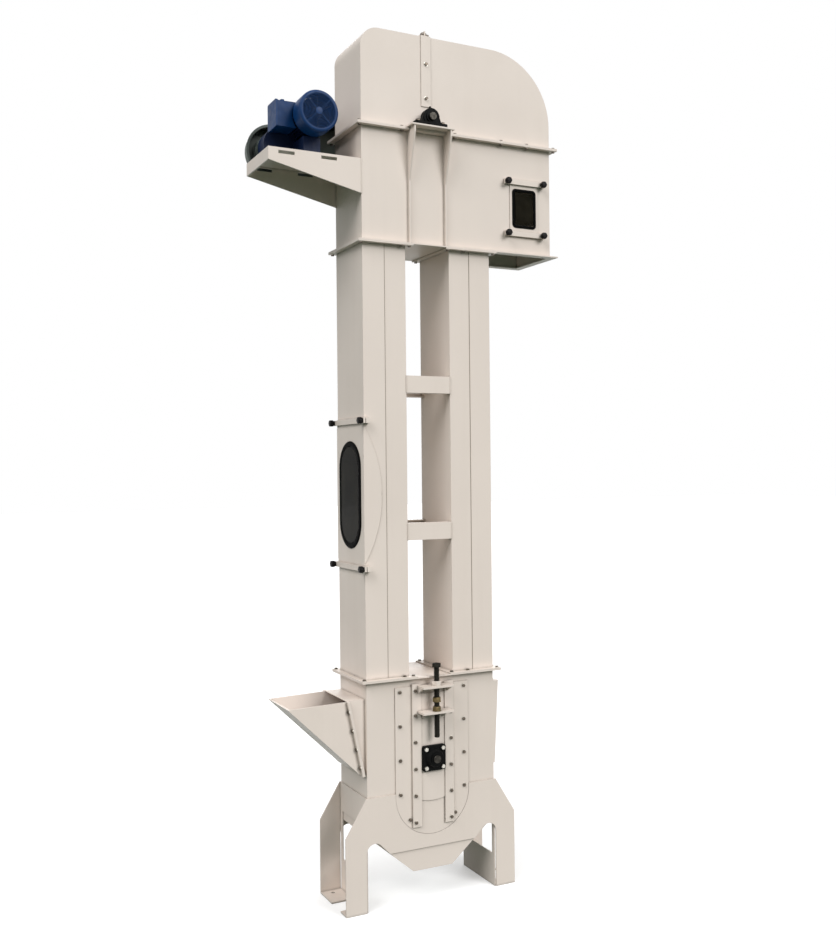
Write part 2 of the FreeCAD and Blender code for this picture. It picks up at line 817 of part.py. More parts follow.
def make_head():
    """The lower head casing: its wall, middle flange, floor plate and outlet flange."""
    low = head_bottom + flange_sheet
    high = hood_base - flange_sheet
    shell = block(-leg_outer, head_reach, front, half_depth, low, high)
    shell = shell.cut(block(casing_sheet - leg_outer, head_reach - casing_sheet, front + casing_sheet,
                            half_depth - casing_sheet, low - 1, high + 1))
    ring = frame_z(casing_sheet - leg_outer, head_reach - casing_sheet, half_depth - casing_sheet,
                   flange_width + casing_sheet, high, hood_base)
    edge = half_depth + flange_width
    floor = block(-leg_outer - flange_width, outlet_start, -edge, edge, head_bottom, low)
    for side in (-1, 1):
        floor = floor.cut(leg_hollow(side, head_bottom - 1, low + 1))
    shape = shell.cut(hatch_window(8, front - 1, front + casing_sheet + 1))
    for x in (hatch_x - hatch_knob_x, hatch_x + hatch_knob_x):
        for z in (hatch_z - hatch_bar_z, hatch_z + hatch_bar_z):
            boss = rod_y(x, z, 9, front - door_sheet, front + casing_sheet + 12)
            hole = rod_y(x, z, knob_stud_radius + running_gap, front - 20, front + casing_sheet + 11)
            shape = shape.fuse(boss).cut(hole)
    return [shape.removeSplitter(), ring, floor, make_outlet_flange()]


def make_outlet_flange():
    """The flange round the three outer sides of the outlet, drilled for a spout."""
    edge = half_depth + flange_width
    low = head_bottom + flange_sheet
    flange = block(outlet_start, head_reach + flange_width, -edge, edge, head_bottom, low)
    flange = flange.cut(outlet_space(head_bottom - 1, low + 1))
    for x in outlet_hole_places():
        for y in (-flange_line, flange_line):
            flange = flange.cut(rod_z(x, y, bolt_hole_radius, head_bottom - 1, low + 1))
    return flange


def outlet_space(low, high):
    return block(outlet_start - 1, head_reach - outlet_wall_margin, outlet_wall_margin - half_depth,
                 half_depth - outlet_wall_margin, low, high)


def outlet_hole_places():
    """The two rows of the outlet's bolt holes, along X."""
    return (outlet_start + 14, head_reach + flange_width / 2)


def make_throat_plate():
    """The plate inside the head that keeps the discharge out of the down leg."""
    low = head_bottom + flange_sheet
    foot = outlet_start - 12
    top = foot - throat_lean
    points = [(foot, low), (top, low + throat_rise), (top, low + throat_rise + 35),
              (top + 4, low + throat_rise + 35), (top + 4, low + throat_rise), (foot + 4.5, low)]
    return plate_y(points, front + casing_sheet, half_depth - casing_sheet)


def hood_outline(inset):
    """The side of the hood, drawn in by an even wall."""
    left = -leg_outer + inset
    right = head_reach - inset
    top = hood_top - inset
    small = hood_corner_radius - inset
    large = hood_shoulder_radius - inset
    half = math.sqrt(0.5)
    base = hood_base - (1 if inset else 0)
    return [(left, base), (left, top - small),
            (left + small * (1 - half), top - small * (1 - half), "via"), (left + small, top),
            (right - large, top),
            (right - large * (1 - half), top - large * (1 - half), "via"),
            (right, top - large), (right, base)]


def make_hood():
    """The wall of the whole hood, before it is parted into its two halves."""
    shell = plate_y(hood_outline(0), front, half_depth)
    shell = shell.cut(plate_y(hood_outline(hood_sheet), front + hood_sheet, half_depth - hood_sheet))
    seam = block(-seam_sheet, seam_sheet, front + 4, half_depth - 4, hood_top - 1, hood_top + seam_height)
    shape = shell.fuse(seam)
    for y in seam_bolt_places():
        shape = shape.cut(rod_x(y, hood_top + seam_height / 2 + 1, 5.5, -20, 20))
    hole = rod_y(0, head_shaft_height, head_shaft_radius + 9, front - 5, half_depth + 5)
    return shape.cut(hole)


def make_hood_flange():
    """The angle ring at the foot of the whole hood."""
    return frame_z(-leg_outer, head_reach, half_depth, flange_width, hood_base, hood_base + flange_sheet)


def hood_half(shape, low, high):
    room = block(low, high, -half_depth - 60, half_depth + 60, hood_base - 10, hood_top + 60)
    return shape.common(room).removeSplitter()


def seam_bolt_places():
    """Where the bolts cross the upstanding seam, along Y."""
    return (-half_depth + 18, 0.0, half_depth - 18)


def make_joint_strip():
    """The strap over the seam between the hood halves, and the seam's cross bolts."""
    half = strap_half_width
    sheet = strap_sheet
    low = head_shaft_height + strap_start
    outer = block(-half, half, front - sheet, half_depth + sheet, low, hood_top + sheet)
    strip = outer.cut(block(-half - 1, half + 1, front, half_depth, low - 1, hood_top))
    strip = strip.cut(block(-seam_sheet, seam_sheet, front + 4, half_depth - 4, hood_top - 1, hood_top + 10))
    bolts = []
    height = hood_top + seam_height / 2 + 1
    for y in seam_bolt_places():
        shank = rod_x(y, height, 5, -seam_sheet - 1, 22)
        head = hexagon(Vector(-seam_sheet, y, height), Vector(-1, 0, 0), 16, 7)
        nut = hexagon(Vector(seam_sheet, y, height), Vector(1, 0, 0), 16, 9)
        bolts.append(shank.fuse([head, nut]).removeSplitter())
    return [strip] + bolts


def make_hatch_door():
    shape = block(hatch_x - hatch_half_width, hatch_x + hatch_half_width, front - door_sheet, front,
                  hatch_z - hatch_half_height, hatch_z + hatch_half_height)
    return shape.cut(hatch_window(-4, front - door_sheet - 1, front + 1))


def make_hatch_seal():
    """The rubber channel round the hatch pane."""
    back = front - door_sheet
    outer = hatch_window(6, back - 4, back)
    sleeve = hatch_window(-4, back, back + 2)
    inner = hatch_window(-8, back - 5, back + 3)
    return outer.fuse(sleeve).cut(inner).removeSplitter()


def make_hatch_glass():
    back = front - door_sheet
    return hatch_window(-8, back - 2, back + 2)


def make_platform():
    """The folded motor platform on the head, open below."""
    tip = -platform_reach
    root = -leg_outer
    side = [(tip, platform_top), (root, platform_top), (root, platform_top - platform_root_height),
            (tip, platform_top - platform_tip_height)]
    outer = plate_y(side, front, half_depth)
    s = platform_sheet
    room = plate_y([(tip + s, platform_top - s), (root + 1, platform_top - s),
                    (root + 1, platform_top - platform_root_height - 20),
                    (tip + s, platform_top - platform_tip_height - 20)], front + s, half_depth - s)
    shape = outer.cut(room)
    reach = platform_slot_length / 2
    for x in platform_slots:
        slot = block(tip + x - reach, tip + x + reach, front - 1, half_depth + 1,
                     platform_top - platform_slot_low, platform_top - platform_slot_high)
        shape = shape.cut(slot)
    for x in platform_holes:
        for y in (-platform_hole_line, platform_hole_line):
            hole = rod_z(tip + x, y, platform_hole_radius, platform_top - s - 1, platform_top + 1)
            shape = shape.cut(hole)
    return shape.removeSplitter()


def make_motor():
    """The finned motor body with its base on the platform."""
    body = rod_y(motor_x, motor_z, motor_radius, cowl_back - 18, motor_back)
    fins = []
    for turn in range(fin_count):
        angle = 360.0 * (turn + 0.5) / fin_count
        fin = block(-1.5, 1.5, cowl_back, motor_back - 14, motor_radius - 3, fin_radius)
        fin.rotate(Vector(0, 0, 0), Vector(0, 1, 0), angle)
        fin.translate(Vector(motor_x, 0, motor_z))
        fins.append(fin)
    shield = rod_y(motor_x, motor_z, fin_radius + 3, motor_back - 14, motor_back)
    shape = body.fuse(fins + [shield])
    bore = rod_y(motor_x, motor_z, 9 + running_gap, cowl_back - 20, cowl_back + 6)
    return shape.cut(bore).removeSplitter()


def ring_sector(inner, outer, start, span, y_low, y_high):
    """A curved slot in the face of the fan cowl."""
    def at(radius, angle):
        turn = math.radians(angle)
        return (motor_x + radius * math.cos(turn), motor_z + radius * math.sin(turn))

    middle = start + span / 2
    end = start + span
    points = [at(inner, start), at(outer, start), at(outer, middle) + ("via",), at(outer, end),
              at(inner, end), at(inner, middle) + ("via",)]
    return plate_y(points, y_low, y_high)


def round_nosed(radius, low, high, nose):
    """A cylinder on the motor's axis with a rounded front edge."""
    shape = rod_y(motor_x, motor_z, radius, low, high)
    rim = [edge for edge in shape.Edges if edge.BoundBox.YMax < low + 1]
    return shape.makeFillet(nose, rim)


def make_cowl():
    """The fan cowl: a dished cup with rings of curved slots."""
    shape = round_nosed(cowl_radius, cowl_front, cowl_back, 8)
    shape = shape.cut(round_nosed(cowl_radius - cowl_sheet, cowl_front + cowl_sheet, cowl_back + 1,
                                  8 - cowl_sheet))
    for inner in (22, 36, 50):
        for start in (8, 98, 188, 278):
            shape = shape.cut(ring_sector(inner, inner + 8, start, 74, cowl_front - 1,
                                          cowl_front + cowl_sheet + 1))
    seat = []
    for turn in range(3):
        angle = 30.0 + 120.0 * turn
        lug = block(-6, 6, cowl_back - 12, cowl_back, fin_radius, cowl_radius - cowl_sheet + 0.5)
        lug.rotate(Vector(0, 0, 0), Vector(0, 1, 0), angle)
        lug.translate(Vector(motor_x, 0, motor_z))
        seat.append(lug)
    return shape.fuse(seat).removeSplitter()


def make_rotor():
    """The fan on the end of the motor shaft."""
    shaft = rod_y(motor_x, motor_z, 9, cowl_front + 24, cowl_back + 4)
    hub = rod_y(motor_x, motor_z, 22, cowl_front + 20, cowl_back - 24)
    blades = []
    for turn in range(6):
        blade = block(-1.5, 1.5, cowl_front + 16, cowl_back - 26, 20, cowl_radius - 14)
        blade.rotate(Vector(0, 0, 0), Vector(0, 1, 0), 60.0 * turn)
        blade.translate(Vector(motor_x, 0, motor_z))
        blades.append(blade)
    return shaft.fuse([hub] + blades).removeSplitter()


def make_terminal_box():
    """The terminal box on the feed side of the motor, with its cable gland."""
    right = motor_x - motor_radius + 4
    left = right - 74
    low = motor_z - 46
    high = motor_z + 50
    start = gear_front - 92
    end = gear_front - 4
    lid = block(left - 8, left, start - 4, end + 3, low - 3, high + 3)
    lid = lid.makeFillet(5, [edge for edge in lid.Edges if is_along(edge, 0)])
    body = block(left, right, start, end, low, high)
    gland = hexagon(Vector(left + 34, start + 44, high), Vector(0, 0, 1), 24, 9)
    tail = rod_z(left + 34, start + 44, 8, high + 9, high + 18)
    shape = body.fuse([lid, gland, tail])
    room = rod_y(motor_x, motor_z, fin_radius + 0.2, start - 10, motor_back - 14)
    shield = rod_y(motor_x, motor_z, fin_radius + 3.2, motor_back - 14, 200)
    return shape.cut([room, shield]).removeSplitter()


def make_gearbox():
    """The parallel shaft gear case, with its foot on the platform."""
    first = rod_y(motor_x, motor_z, gear_case_radius + 4, gear_front, gear_back - 8)
    second = rod_y(gear_x, gear_z, gear_case_radius, gear_front + 6, gear_back)
    dx = gear_x - motor_x
    dz = gear_z - motor_z
    length = math.hypot(dx, dz)
    nx = -dz / length * gear_case_radius
    nz = dx / length * gear_case_radius
    points = [(motor_x + nx, motor_z + nz), (gear_x + nx, gear_z + nz),
              (gear_x - nx, gear_z - nz), (motor_x - nx, motor_z - nz)]
    bridge = plate_y(points, gear_front + 6, gear_back - 8)
    foot = block(gear_x - 74, motor_x + 62, -30, half_depth, platform_top, platform_top + 16)
    post = block(gear_x + 10, motor_x + 34, gear_front + 6, gear_back - 8, platform_top, motor_z - 40)
    saddle = block(motor_x - 34, motor_x + 34, -24, gear_front + 6, platform_top, motor_z - fin_radius - 3.3)
    boss = rod_y(gear_x, gear_z, 36, gear_back, gear_back + 9)
    shape = first.fuse([second, bridge, foot, post, saddle, boss])
    bolts = [hexagon(Vector(x, y, platform_top + 16), Vector(0, 0, 1), 15, 7)
             for x in (gear_x - 64, motor_x + 50) for y in (-18, half_depth - 14)]
    shape = shape.fuse(bolts)
    bore = rod_y(gear_x, gear_z, gear_shaft_radius + running_gap, gear_front + 30, gear_back + 20)
    return shape.cut(bore).removeSplitter()


def sheave(x, z, radius, shaft_radius, gap):
    """A sheave with two V grooves and a hub, turned about Y."""
    half = sheave_width / 2
    profile = [(shaft_radius + gap, -half), (radius, -half)]
    for centre in (-groove_offset, groove_offset):
        profile.append((radius, centre - groove_half_width))
        profile.append((radius - groove_depth, centre - groove_half_width + 2.5))
        profile.append((radius - groove_depth, centre + groove_half_width - 2.5))
        profile.append((radius, centre + groove_half_width))
    profile += [(radius, half), (shaft_radius + gap, half)]
    wire = outline(profile, lambda r, y: Vector(x + r, sheave_y + y, z))
    shape = Part.Face(wire).revolve(Vector(x, 0, z), Vector(0, 1, 0), 360)
    dish = rod_y(x, z, radius - groove_depth - 12, sheave_y - half - 1, sheave_y - half + 8)
    dish = dish.cut(rod_y(x, z, shaft_radius + 14, sheave_y - half - 2, sheave_y - half + 9))
    return shape.cut(dish).removeSplitter()


def belt_ring(outer, inner, y_low, y_high):
    """The loop of one drive belt between two offsets from the groove floors."""
    ends = ((gear_x, gear_z, drive_sheave_radius), (0.0, head_shaft_height, head_sheave_radius))
    big = tangent_loop(ends, outer, y_low, y_high)
    return big.cut(tangent_loop(ends, inner, y_low - 1, y_high + 1))


def tangent_loop(ends, offset, y_low, y_high):
    """The solid within a loop that runs round two circles."""
    (x1, z1, r1), (x2, z2, r2) = ends
    a = r1 + offset
    b = r2 + offset
    dx = x2 - x1
    dz = z2 - z1
    length = math.hypot(dx, dz)
    base = math.atan2(dz, dx)
    lean = math.acos((a - b) / length)
    up = base + lean
    down = base - lean

    def on(x, z, radius, angle):
        return (x + radius * math.cos(angle), z + radius * math.sin(angle))

    points = [on(x1, z1, a, up), on(x1, z1, a, base + math.pi) + ("via",), on(x1, z1, a, down),
              on(x2, z2, b, down), on(x2, z2, b, base) + ("via",), on(x2, z2, b, up)]
    return plate_y(points, y_low, y_high)


def make_drive_belts():
    belts = []
    for centre in (-groove_offset, groove_offset):
        y = sheave_y + centre
        belts.append(belt_ring(-0.5, belt_gap - groove_depth, y - 3.2, y + 3.2))
    return belts


def make_guard():
    """The belt guard, open toward the machine, on two brackets."""
    ends = ((gear_x, gear_z, drive_sheave_radius), (0.0, head_shaft_height, head_sheave_radius))
    outer = tangent_loop(ends, guard_gap, guard_front, guard_back)
    inner = tangent_loop(ends, guard_gap - guard_sheet, guard_front - 1, guard_back - guard_sheet)
    shape = outer.cut(inner)
    rim = tangent_loop(ends, guard_gap + 8, guard_front, guard_front + 3)
    shape = shape.fuse(rim.cut(tangent_loop(ends, guard_gap - guard_sheet, guard_front - 2,
                                            guard_front + 4)))
    low = platform_top - 24
    left = motor_x + guard_arm_offset
    right = left + guard_arm_width
    arm = block(left, right, half_depth, guard_front + 3, low, low + 6)
    reach = block(left, right, guard_front, guard_front + 3, low, low + 70)
    left = -leg_outer + guard_stay_offset
    right = left + guard_arm_width
    stay = block(left, right, half_depth, guard_front, hood_base - 62, hood_base - 56)
    tab = block(left, right, guard_front, guard_front + 3, hood_base - 96, hood_base - 56)
    arm = arm.fuse(block(motor_x + guard_arm_offset, motor_x + guard_arm_offset + guard_arm_width,
                         half_depth, half_depth + 5, low - 14, low + 14))
    stay = stay.fuse(block(left, right, half_depth, half_depth + 5, hood_base - 82, hood_base - 36))
    inside = tangent_loop(ends, guard_gap - guard_sheet, guard_front - 2, guard_back - guard_sheet)
    brackets = arm.fuse([reach, stay, tab]).cut(inside)
    return shape.fuse(brackets).removeSplitter()


def make_bucket():
    """One pressed bucket with its back on the plane X = 0 and its mouth up."""
    def section(inset):
        toe = bucket_toe_radius
        half = math.sqrt(0.5)
        low = inset
        back = inset
        front_low = bucket_projection * 0.62 - inset
        nose = bucket_projection - inset * 1.1
        rise = 0 if inset == 0 else 12
        r = toe - inset
        return [(back, bucket_height + rise), (back, low + r),
                (back + r * (1 - half), low + r * (1 - half), "via"), (back + r, low),
                (front_low - 12, low), (nose, bucket_lip_height + rise)]

    outer = plate_y(section(0), -bucket_width / 2, bucket_width / 2)
    inner = plate_y(section(bucket_sheet), bucket_sheet - bucket_width / 2, bucket_width / 2 - bucket_sheet)
    return outer.cut(inner)


def belt_loop_length():
    straight = head_shaft_height - boot_shaft_height
    return 2 * straight + 2 * math.pi * belt_outer_radius


def bucket_place(distance):
    """Where a bucket sits: distance runs from the top of the head, down the discharge side."""
    quarter = math.pi * belt_outer_radius / 2
    straight = head_shaft_height - boot_shaft_height
    if distance < quarter:
        return head_shaft_height, 90.0 * distance / quarter
    if distance < quarter + straight:
        return head_shaft_height - (distance - quarter), 90.0
    return boot_shaft_height, 90.0 + 90.0 * (distance - quarter - straight) / quarter


def place_bucket(bucket, centre, turn):
    """Set a bucket against the belt at a turn from the top, about a pulley centre."""
    shape = bucket.copy()
    shape.translate(Vector(belt_outer_radius, 0, -bucket_height / 2))
    shape.rotate(Vector(0, 0, 0), Vector(0, 1, 0), turn - 90.0)
    shape.translate(Vector(0, 0, centre))
    return shape


def make_buckets():
    """Buckets on the up run, on the down run with the head, and at the boot."""
    bucket = make_bucket()
    flipped = bucket.mirror(Vector(0, 0, bucket_height / 2), Vector(0, 0, 1))
    pitch = belt_loop_length() / bucket_count
    up = []
    down = []
    boot = []
    for index in range(bucket_count // 2 + 1):
        centre, turn = bucket_place(index * pitch)
        mouth_down = place_bucket(flipped, centre, turn)
        if index == 0:
            down.append(mouth_down)
        elif index == bucket_count // 2:
            boot.append(mouth_down)
        else:
            down.append(mouth_down)
            up.append(mirrored_x(place_bucket(bucket, centre, turn)))
    return up, down, boot


def half_ring(centre, upper):
    """Half of the belt where it wraps a pulley."""
    y = belt_width / 2
    ring = rod_y(0, centre, belt_outer_radius, -y, y).cut(rod_y(0, centre, belt_inner_radius, -y - 1, y + 1))
    reach = belt_outer_radius + 10
    if upper:
        return ring.common(block(-reach, reach, -y - 2, y + 2, centre, centre + reach))
    return ring.common(block(-reach, reach, -y - 2, y + 2, centre - reach, centre))


def make_belt_run(side):
    low, high = sorted((side * belt_inner_radius, side * belt_outer_radius))
    y = belt_width / 2
    return block(low, high, -y, y, boot_shaft_height + belt_gap, head_shaft_height)


def make_head_pulley():
    """A drum with two end discs and hubs, crowned a little toward its middle."""
    y = pulley_width / 2
    z = head_shaft_height
    crown = 1.2
    bore = head_shaft_radius + running_gap
    rim = [(pulley_radius - pulley_wall - crown, -y), (pulley_radius - crown, -y),
           (pulley_radius, -y / 2), (pulley_radius, y / 2), (pulley_radius - crown, y),
           (pulley_radius - pulley_wall - crown, y)]
    wire = outline(rim, lambda r, along: Vector(r, along, z))
    drum = Part.Face(wire).revolve(Vector(0, 0, z), Vector(0, 1, 0), 360)
    for side in (-1, 1):
        low, high = sorted((side * (y - 30), side * (y - 24)))
        drum = drum.fuse(rod_y(0, z, pulley_radius - pulley_wall, low, high))
        low, high = sorted((side * (y - 50), side * (y - 6)))
        drum = drum.fuse(rod_y(0, z, bore + 16, low, high))
    return drum.cut(rod_y(0, z, bore, -y - 1, y + 1)).removeSplitter()


def make_boot_pulley():
    """A self-cleaning wing pulley: plates on a hub, each with a bar at its rim."""
    y = pulley_width / 2
    z = boot_shaft_height
    bore = boot_shaft_radius + running_gap
    shape = rod_y(0, z, bore + 14, -y, y)
    disc = rod_y(0, z, pulley_radius - 30, -3, 3)
    shape = shape.fuse(disc)
    rim = rod_y(0, z, pulley_radius, -y, y)
    for turn in range(wing_count):
        wing = block(-2.5, 2.5, -y, y, bore + 8, pulley_radius - 6)
        bar = block(-11, 11, -y, y, pulley_radius - 12, pulley_radius + 3)
        for piece in (wing, bar):
            piece.rotate(Vector(0, 0, 0), Vector(0, 1, 0), 360.0 * turn / wing_count)
            piece.translate(Vector(0, 0, z))
        shape = shape.fuse([wing, bar.common(rim)])
    return shape.cut(rod_y(0, z, bore, -y - 1, y + 1)).removeSplitter()


def make_head_shaft():
    start = -pillow_y - pillow_width / 2 - 9
    shaft = rod_y(0, head_shaft_height, head_shaft_radius, start, sheave_y + sheave_width / 2 + 4)
    return shaft.makeChamfer(1.5, [shaft.Edges[0], shaft.Edges[2]])


def make_boot_shaft():
    end = slide_face + flange_bearing_depth + 10
    shaft = rod_y(0, boot_shaft_height, boot_shaft_radius, -end, end)
    return shaft.makeChamfer(1.5, [shaft.Edges[0], shaft.Edges[2]])


def make_output_shaft():
    return rod_y(gear_x, gear_z, gear_shaft_radius, gear_front + 31, sheave_y + sheave_width / 2 + 3)


def bolt_out(x, z, face):
    """A bolt head on a front face."""
    return hexagon(Vector(x, face, z), Vector(0, -1, 0), bolt_flats, bolt_head)


def make_bolts():
    """All the bolt heads on the casing flanges, covers and rails."""
    heads = []
    pitch = (cover_top - cover_bolt_end - cover_round_centre - cover_bolt_foot) / 3
    for row in range(4):
        for side in (-1, 1):
            z = cover_top - cover_bolt_end - pitch * row
            heads.append(bolt_out(side * (cover_half_width - cover_bolt_inset), z, -cover_face))
    for side in (-1, 1):
        z = cover_round_centre - cover_low_bolt_drop
        heads.append(bolt_out(side * cover_low_bolt_x, z, -cover_face))
    rail_pitch = (rail_top - rail_bottom() - 2 * rail_bolt_end) / 5
    for row in range(6):
        for side in (-1, 1):
            z = rail_top - rail_bolt_end - rail_pitch * row
            if abs(z - top_bracket_height) > 30 or side < 0:
                drop = rail_top_bolt_drop if row == 0 else 0
                heads.append(bolt_out(side * (rail_outer - rail_bolt_inset), z - drop,
                                      -cover_face - rail_sheet))
    for share in (0.26, 0.67):
        heads.append(bolt_out(0, head_shaft_height + hood_rise * share, front - strap_sheet))
    heads += [rear_of(head) for head in heads]
    up = Vector(0, 0, 1)
    down = Vector(0, 0, -1)
    margin = flange_width / 2
    shelf_left = -shelf_half_length - shelf_bolt_gaps[0]
    shelf_right = shelf_half_length + shelf_bolt_gaps[1]
    over_hatch = [hatch_x + place for place in hatch_bolt_places]
    for y in (-flange_line, flange_line):
        for x in (-leg_outer - margin, margin - leg_inner - leg_width * 0.2, margin - leg_inner,
                  leg_inner - margin, leg_middle - leg_width / 6, leg_outer + margin):
            heads.append(hexagon(Vector(x, y, boot_top + flange_sheet), up, bolt_flats, bolt_head))
            heads.append(hexagon(Vector(x, y, head_bottom - flange_sheet), down, bolt_flats, bolt_head))
        for x in (-leg_outer - margin, shelf_left, shelf_right, *over_hatch, head_reach + margin):
            heads.append(hexagon(Vector(x, y, hood_base - flange_sheet), down, bolt_flats, bolt_head))
            if abs(x) > shelf_half_length:
                heads.append(hexagon(Vector(x, y, hood_base + flange_sheet), up, bolt_flats, bolt_head))
    return heads


def make_hopper_bolts():
    """The bolts through the sloping inlet flange, front and rear."""
    heads = []
    _, out = inlet_direction()
    direction = Vector(out[0], 0, out[1])
    for share in (0.12, 0.37, 0.62, 0.87):
        x, z = inlet_point(inlet_length() * share, 2 * flange_sheet)
        for y in (-inlet_half_width - inlet_bolt_inset, inlet_half_width + inlet_bolt_inset):
            heads.append(hexagon(Vector(x, y, z), direction, inlet_bolt_flats, inlet_bolt_head))
    return heads


def build():
    os.makedirs("parts", exist_ok=True)
    save("boot_casing", [make_boot(), make_boot_lid()])
    save("inlet_hopper", [make_inlet_hopper()])
    plate = make_stand_plate()
    save("stand_front_plate", [plate])
    save("stand_rear_plate", [rear_of(plate)])
    web = make_web()
    save("stand_web_left", [web])
    save("stand_web_right", [mirrored_x(web)])
    save("boot_covers", front_and_rear(make_cover()))
    rails = [make_rail(side) for side in (-1, 1)]
    save("guide_rails", rails + [rear_of(rail) for rail in rails])
    save("takeup_top_brackets", front_and_rear(make_top_bracket()))

    save("up_leg_casing", make_feed_leg() + make_leg_flanges(-1))
    save("down_leg_casing", make_leg(1) + make_leg_flanges(1))
    ties = [make_tie(level) for level in (tie_low, tie_high)]
    save("leg_ties", ties + [rear_of(tie) for tie in ties])

    save("head_casing", make_head())
    save("throat_plate", [make_throat_plate()])
    hood = (make_hood(), make_hood_flange())
    save("hood_feed_half", [hood_half(part, -leg_outer - 60, hood_split) for part in hood])
    save("hood_discharge_half", [hood_half(part, hood_split, head_reach + 60) for part in hood])
    save("hood_joint_strip", make_joint_strip())
    save("head_bearing_brackets", front_and_rear(make_bearing_bracket()))
    save("head_bearings", front_and_rear(make_head_bearing()))

    save("hatch_door", [make_hatch_door()])
    save("hatch_seal", [make_hatch_seal()])
    save("hatch_glass", [make_hatch_glass()])
    save("leg_door", [make_leg_door()])
    save("leg_door_seal", [make_leg_seal()])
    save("leg_door_glass", [make_leg_glass()])
    save("clamp_bars", make_clamp_bars())

    save("motor_platform", [make_platform()])
    save("motor_body", [make_motor()])
    save("fan_cowl", [make_cowl()])
    save("terminal_box", [make_terminal_box()])
    save("gearbox", [make_gearbox()])
    save("belt_guard", [make_guard()])
    save("drive_belts", make_drive_belts())
    save("motor_rotor", [make_rotor()])
    save("drive_sheave", [sheave(gear_x, gear_z, drive_sheave_radius, gear_shaft_radius, running_gap),
                          make_output_shaft()])
    save("head_sheave", [sheave(0, head_shaft_height, head_sheave_radius, head_shaft_radius, running_gap)])

    up, down, boot = make_buckets()
    save("buckets_up_run", up)
    save("buckets_down_run", down)
    save("boot_bucket", boot)
    save("belt_up_run", [make_belt_run(-1)])
    save("belt_down_run", [make_belt_run(1)])
    save("belt_head_wrap", [half_ring(head_shaft_height, True)])
    save("belt_boot_wrap", [half_ring(boot_shaft_height, False)])

    save("head_shaft", [make_head_shaft()])
    save("head_pulley", [make_head_pulley()])
    save("boot_shaft", [make_boot_shaft()])
    save("boot_pulley", [make_boot_pulley()])
    save("slide_plates", front_and_rear(make_slide()))
    save("boot_bearings", front_and_rear(make_boot_bearing()))
    save("takeup_screw_front", [make_screw()])
    save("takeup_screw_rear", [rear_of(make_screw())])

    face = -leg_outer - door_sheet - bar_sheet - slide_gap
    for level, z in (("low", door_bar_low), ("top", door_bar_high)):
        for place, y in (("front", -knob_y), ("rear", knob_y)):
            knob = make_knob(Vector(face, y, z), Vector(-1, 0, 0))
            save("leg_knob_" + level + "_" + place, [knob])
    face = front - door_sheet - bar_sheet - slide_gap
    for level, z in (("low", hatch_z - hatch_bar_z), ("top", hatch_z + hatch_bar_z)):
        for place, x in (("left", hatch_x - hatch_knob_x), ("right", hatch_x + hatch_knob_x)):
            knob = make_knob(Vector(x, face, z), Vector(0, -1, 0))
            save("hatch_knob_" + level + "_" + place, [knob])

    save("casing_bolts", make_bolts() + make_hopper_bolts())


build()
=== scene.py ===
import json
import math
import bmesh
import bpy
from mathutils import Matrix, Vector
from mathutils.bvhtree import BVHTree


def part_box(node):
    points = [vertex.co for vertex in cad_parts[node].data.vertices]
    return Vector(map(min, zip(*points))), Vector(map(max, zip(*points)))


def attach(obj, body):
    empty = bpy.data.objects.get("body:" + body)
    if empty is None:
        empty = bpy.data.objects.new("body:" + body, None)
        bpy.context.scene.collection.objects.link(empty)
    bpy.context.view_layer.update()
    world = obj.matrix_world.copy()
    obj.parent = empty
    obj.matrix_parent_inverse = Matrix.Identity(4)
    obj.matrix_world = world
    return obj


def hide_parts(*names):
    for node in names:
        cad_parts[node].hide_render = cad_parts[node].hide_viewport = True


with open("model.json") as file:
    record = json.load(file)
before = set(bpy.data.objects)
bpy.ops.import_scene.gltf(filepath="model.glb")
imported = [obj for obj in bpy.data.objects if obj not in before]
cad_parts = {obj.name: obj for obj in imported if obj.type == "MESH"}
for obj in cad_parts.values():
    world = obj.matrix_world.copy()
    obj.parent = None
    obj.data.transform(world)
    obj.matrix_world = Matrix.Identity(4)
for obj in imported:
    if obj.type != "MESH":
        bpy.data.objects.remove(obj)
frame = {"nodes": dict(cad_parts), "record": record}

# The looks of a bucket elevator: a painted sheet casing on a legged stand, a blue
# drive on a platform, black bearings and knobs. Metres, in the frame of the CAD model.

# Camera, fitted to the casing's edges in the photograph
photo_height_px = 934
focal_px = 1059.32
camera_place = Vector((-1.8773, -3.7686, 1.6677))
camera_azimuth = math.radians(26.66)
camera_roll = math.radians(-0.55)
camera_rise = 0.000767
sensor_height_mm = 36.0
view_depth = 200.0

# Colours, linear
paint_white = (0.765, 0.678, 0.612)
paint_dirt = (0.40, 0.33, 0.26)
# Painted shade for the corners and narrow gaps of the painted sheet
crevice_shade_colour = (0.13, 0.115, 0.085)
primer_grey = (0.30, 0.29, 0.27)
motor_blue = (0.001, 0.034, 0.130)
gear_blue = (0.001, 0.008, 0.036)
# Painted shade: a darker copy of the motor blue for the finned body
fin_shade_blue = (0.001, 0.006, 0.028)
# Painted shade: the belt guard gets the dark grey-green of a shaded surface instead of its own
# lighter paint
guard_shade_green = (0.115, 0.135, 0.120)
casting_black = (0.003, 0.003, 0.003)
enamel_dust = (0.16, 0.16, 0.16)
moulding_dust = (0.17, 0.16, 0.15)
# Painted shade: the dark colour of the panes stands for the unlit casing behind clear glass
pane_painted_shade = (0.006, 0.005, 0.003)
pane_film = (0.022, 0.019, 0.012)
floor_bounce = (0.044, 0.076, 0.050)

# Stage and lamps. Each sun has its name, the way towards it, its strength and its width.
floor_grey = 0.78
floor_glow = 0.32
floor_reach = 40
floor_level = -0.0005
dome_strength = 0.42
suns = (
    ("key_sun", (0.35, -0.80, 0.50), 2.00, 30),
    ("side_sun", (-0.62, -0.30, 0.72), 1.72, 35),
    ("low_sun", (-0.90, -0.20, 0.28), 0.08, 40),
    ("back_sun", (0.55, 0.75, 0.45), 0.9, 40),
)

# Bolts of the casing
bolt_head_flats = 0.01235
bolt_head_height = 0.0042
washer_radius = 0.0088
washer_sheet = 0.0015

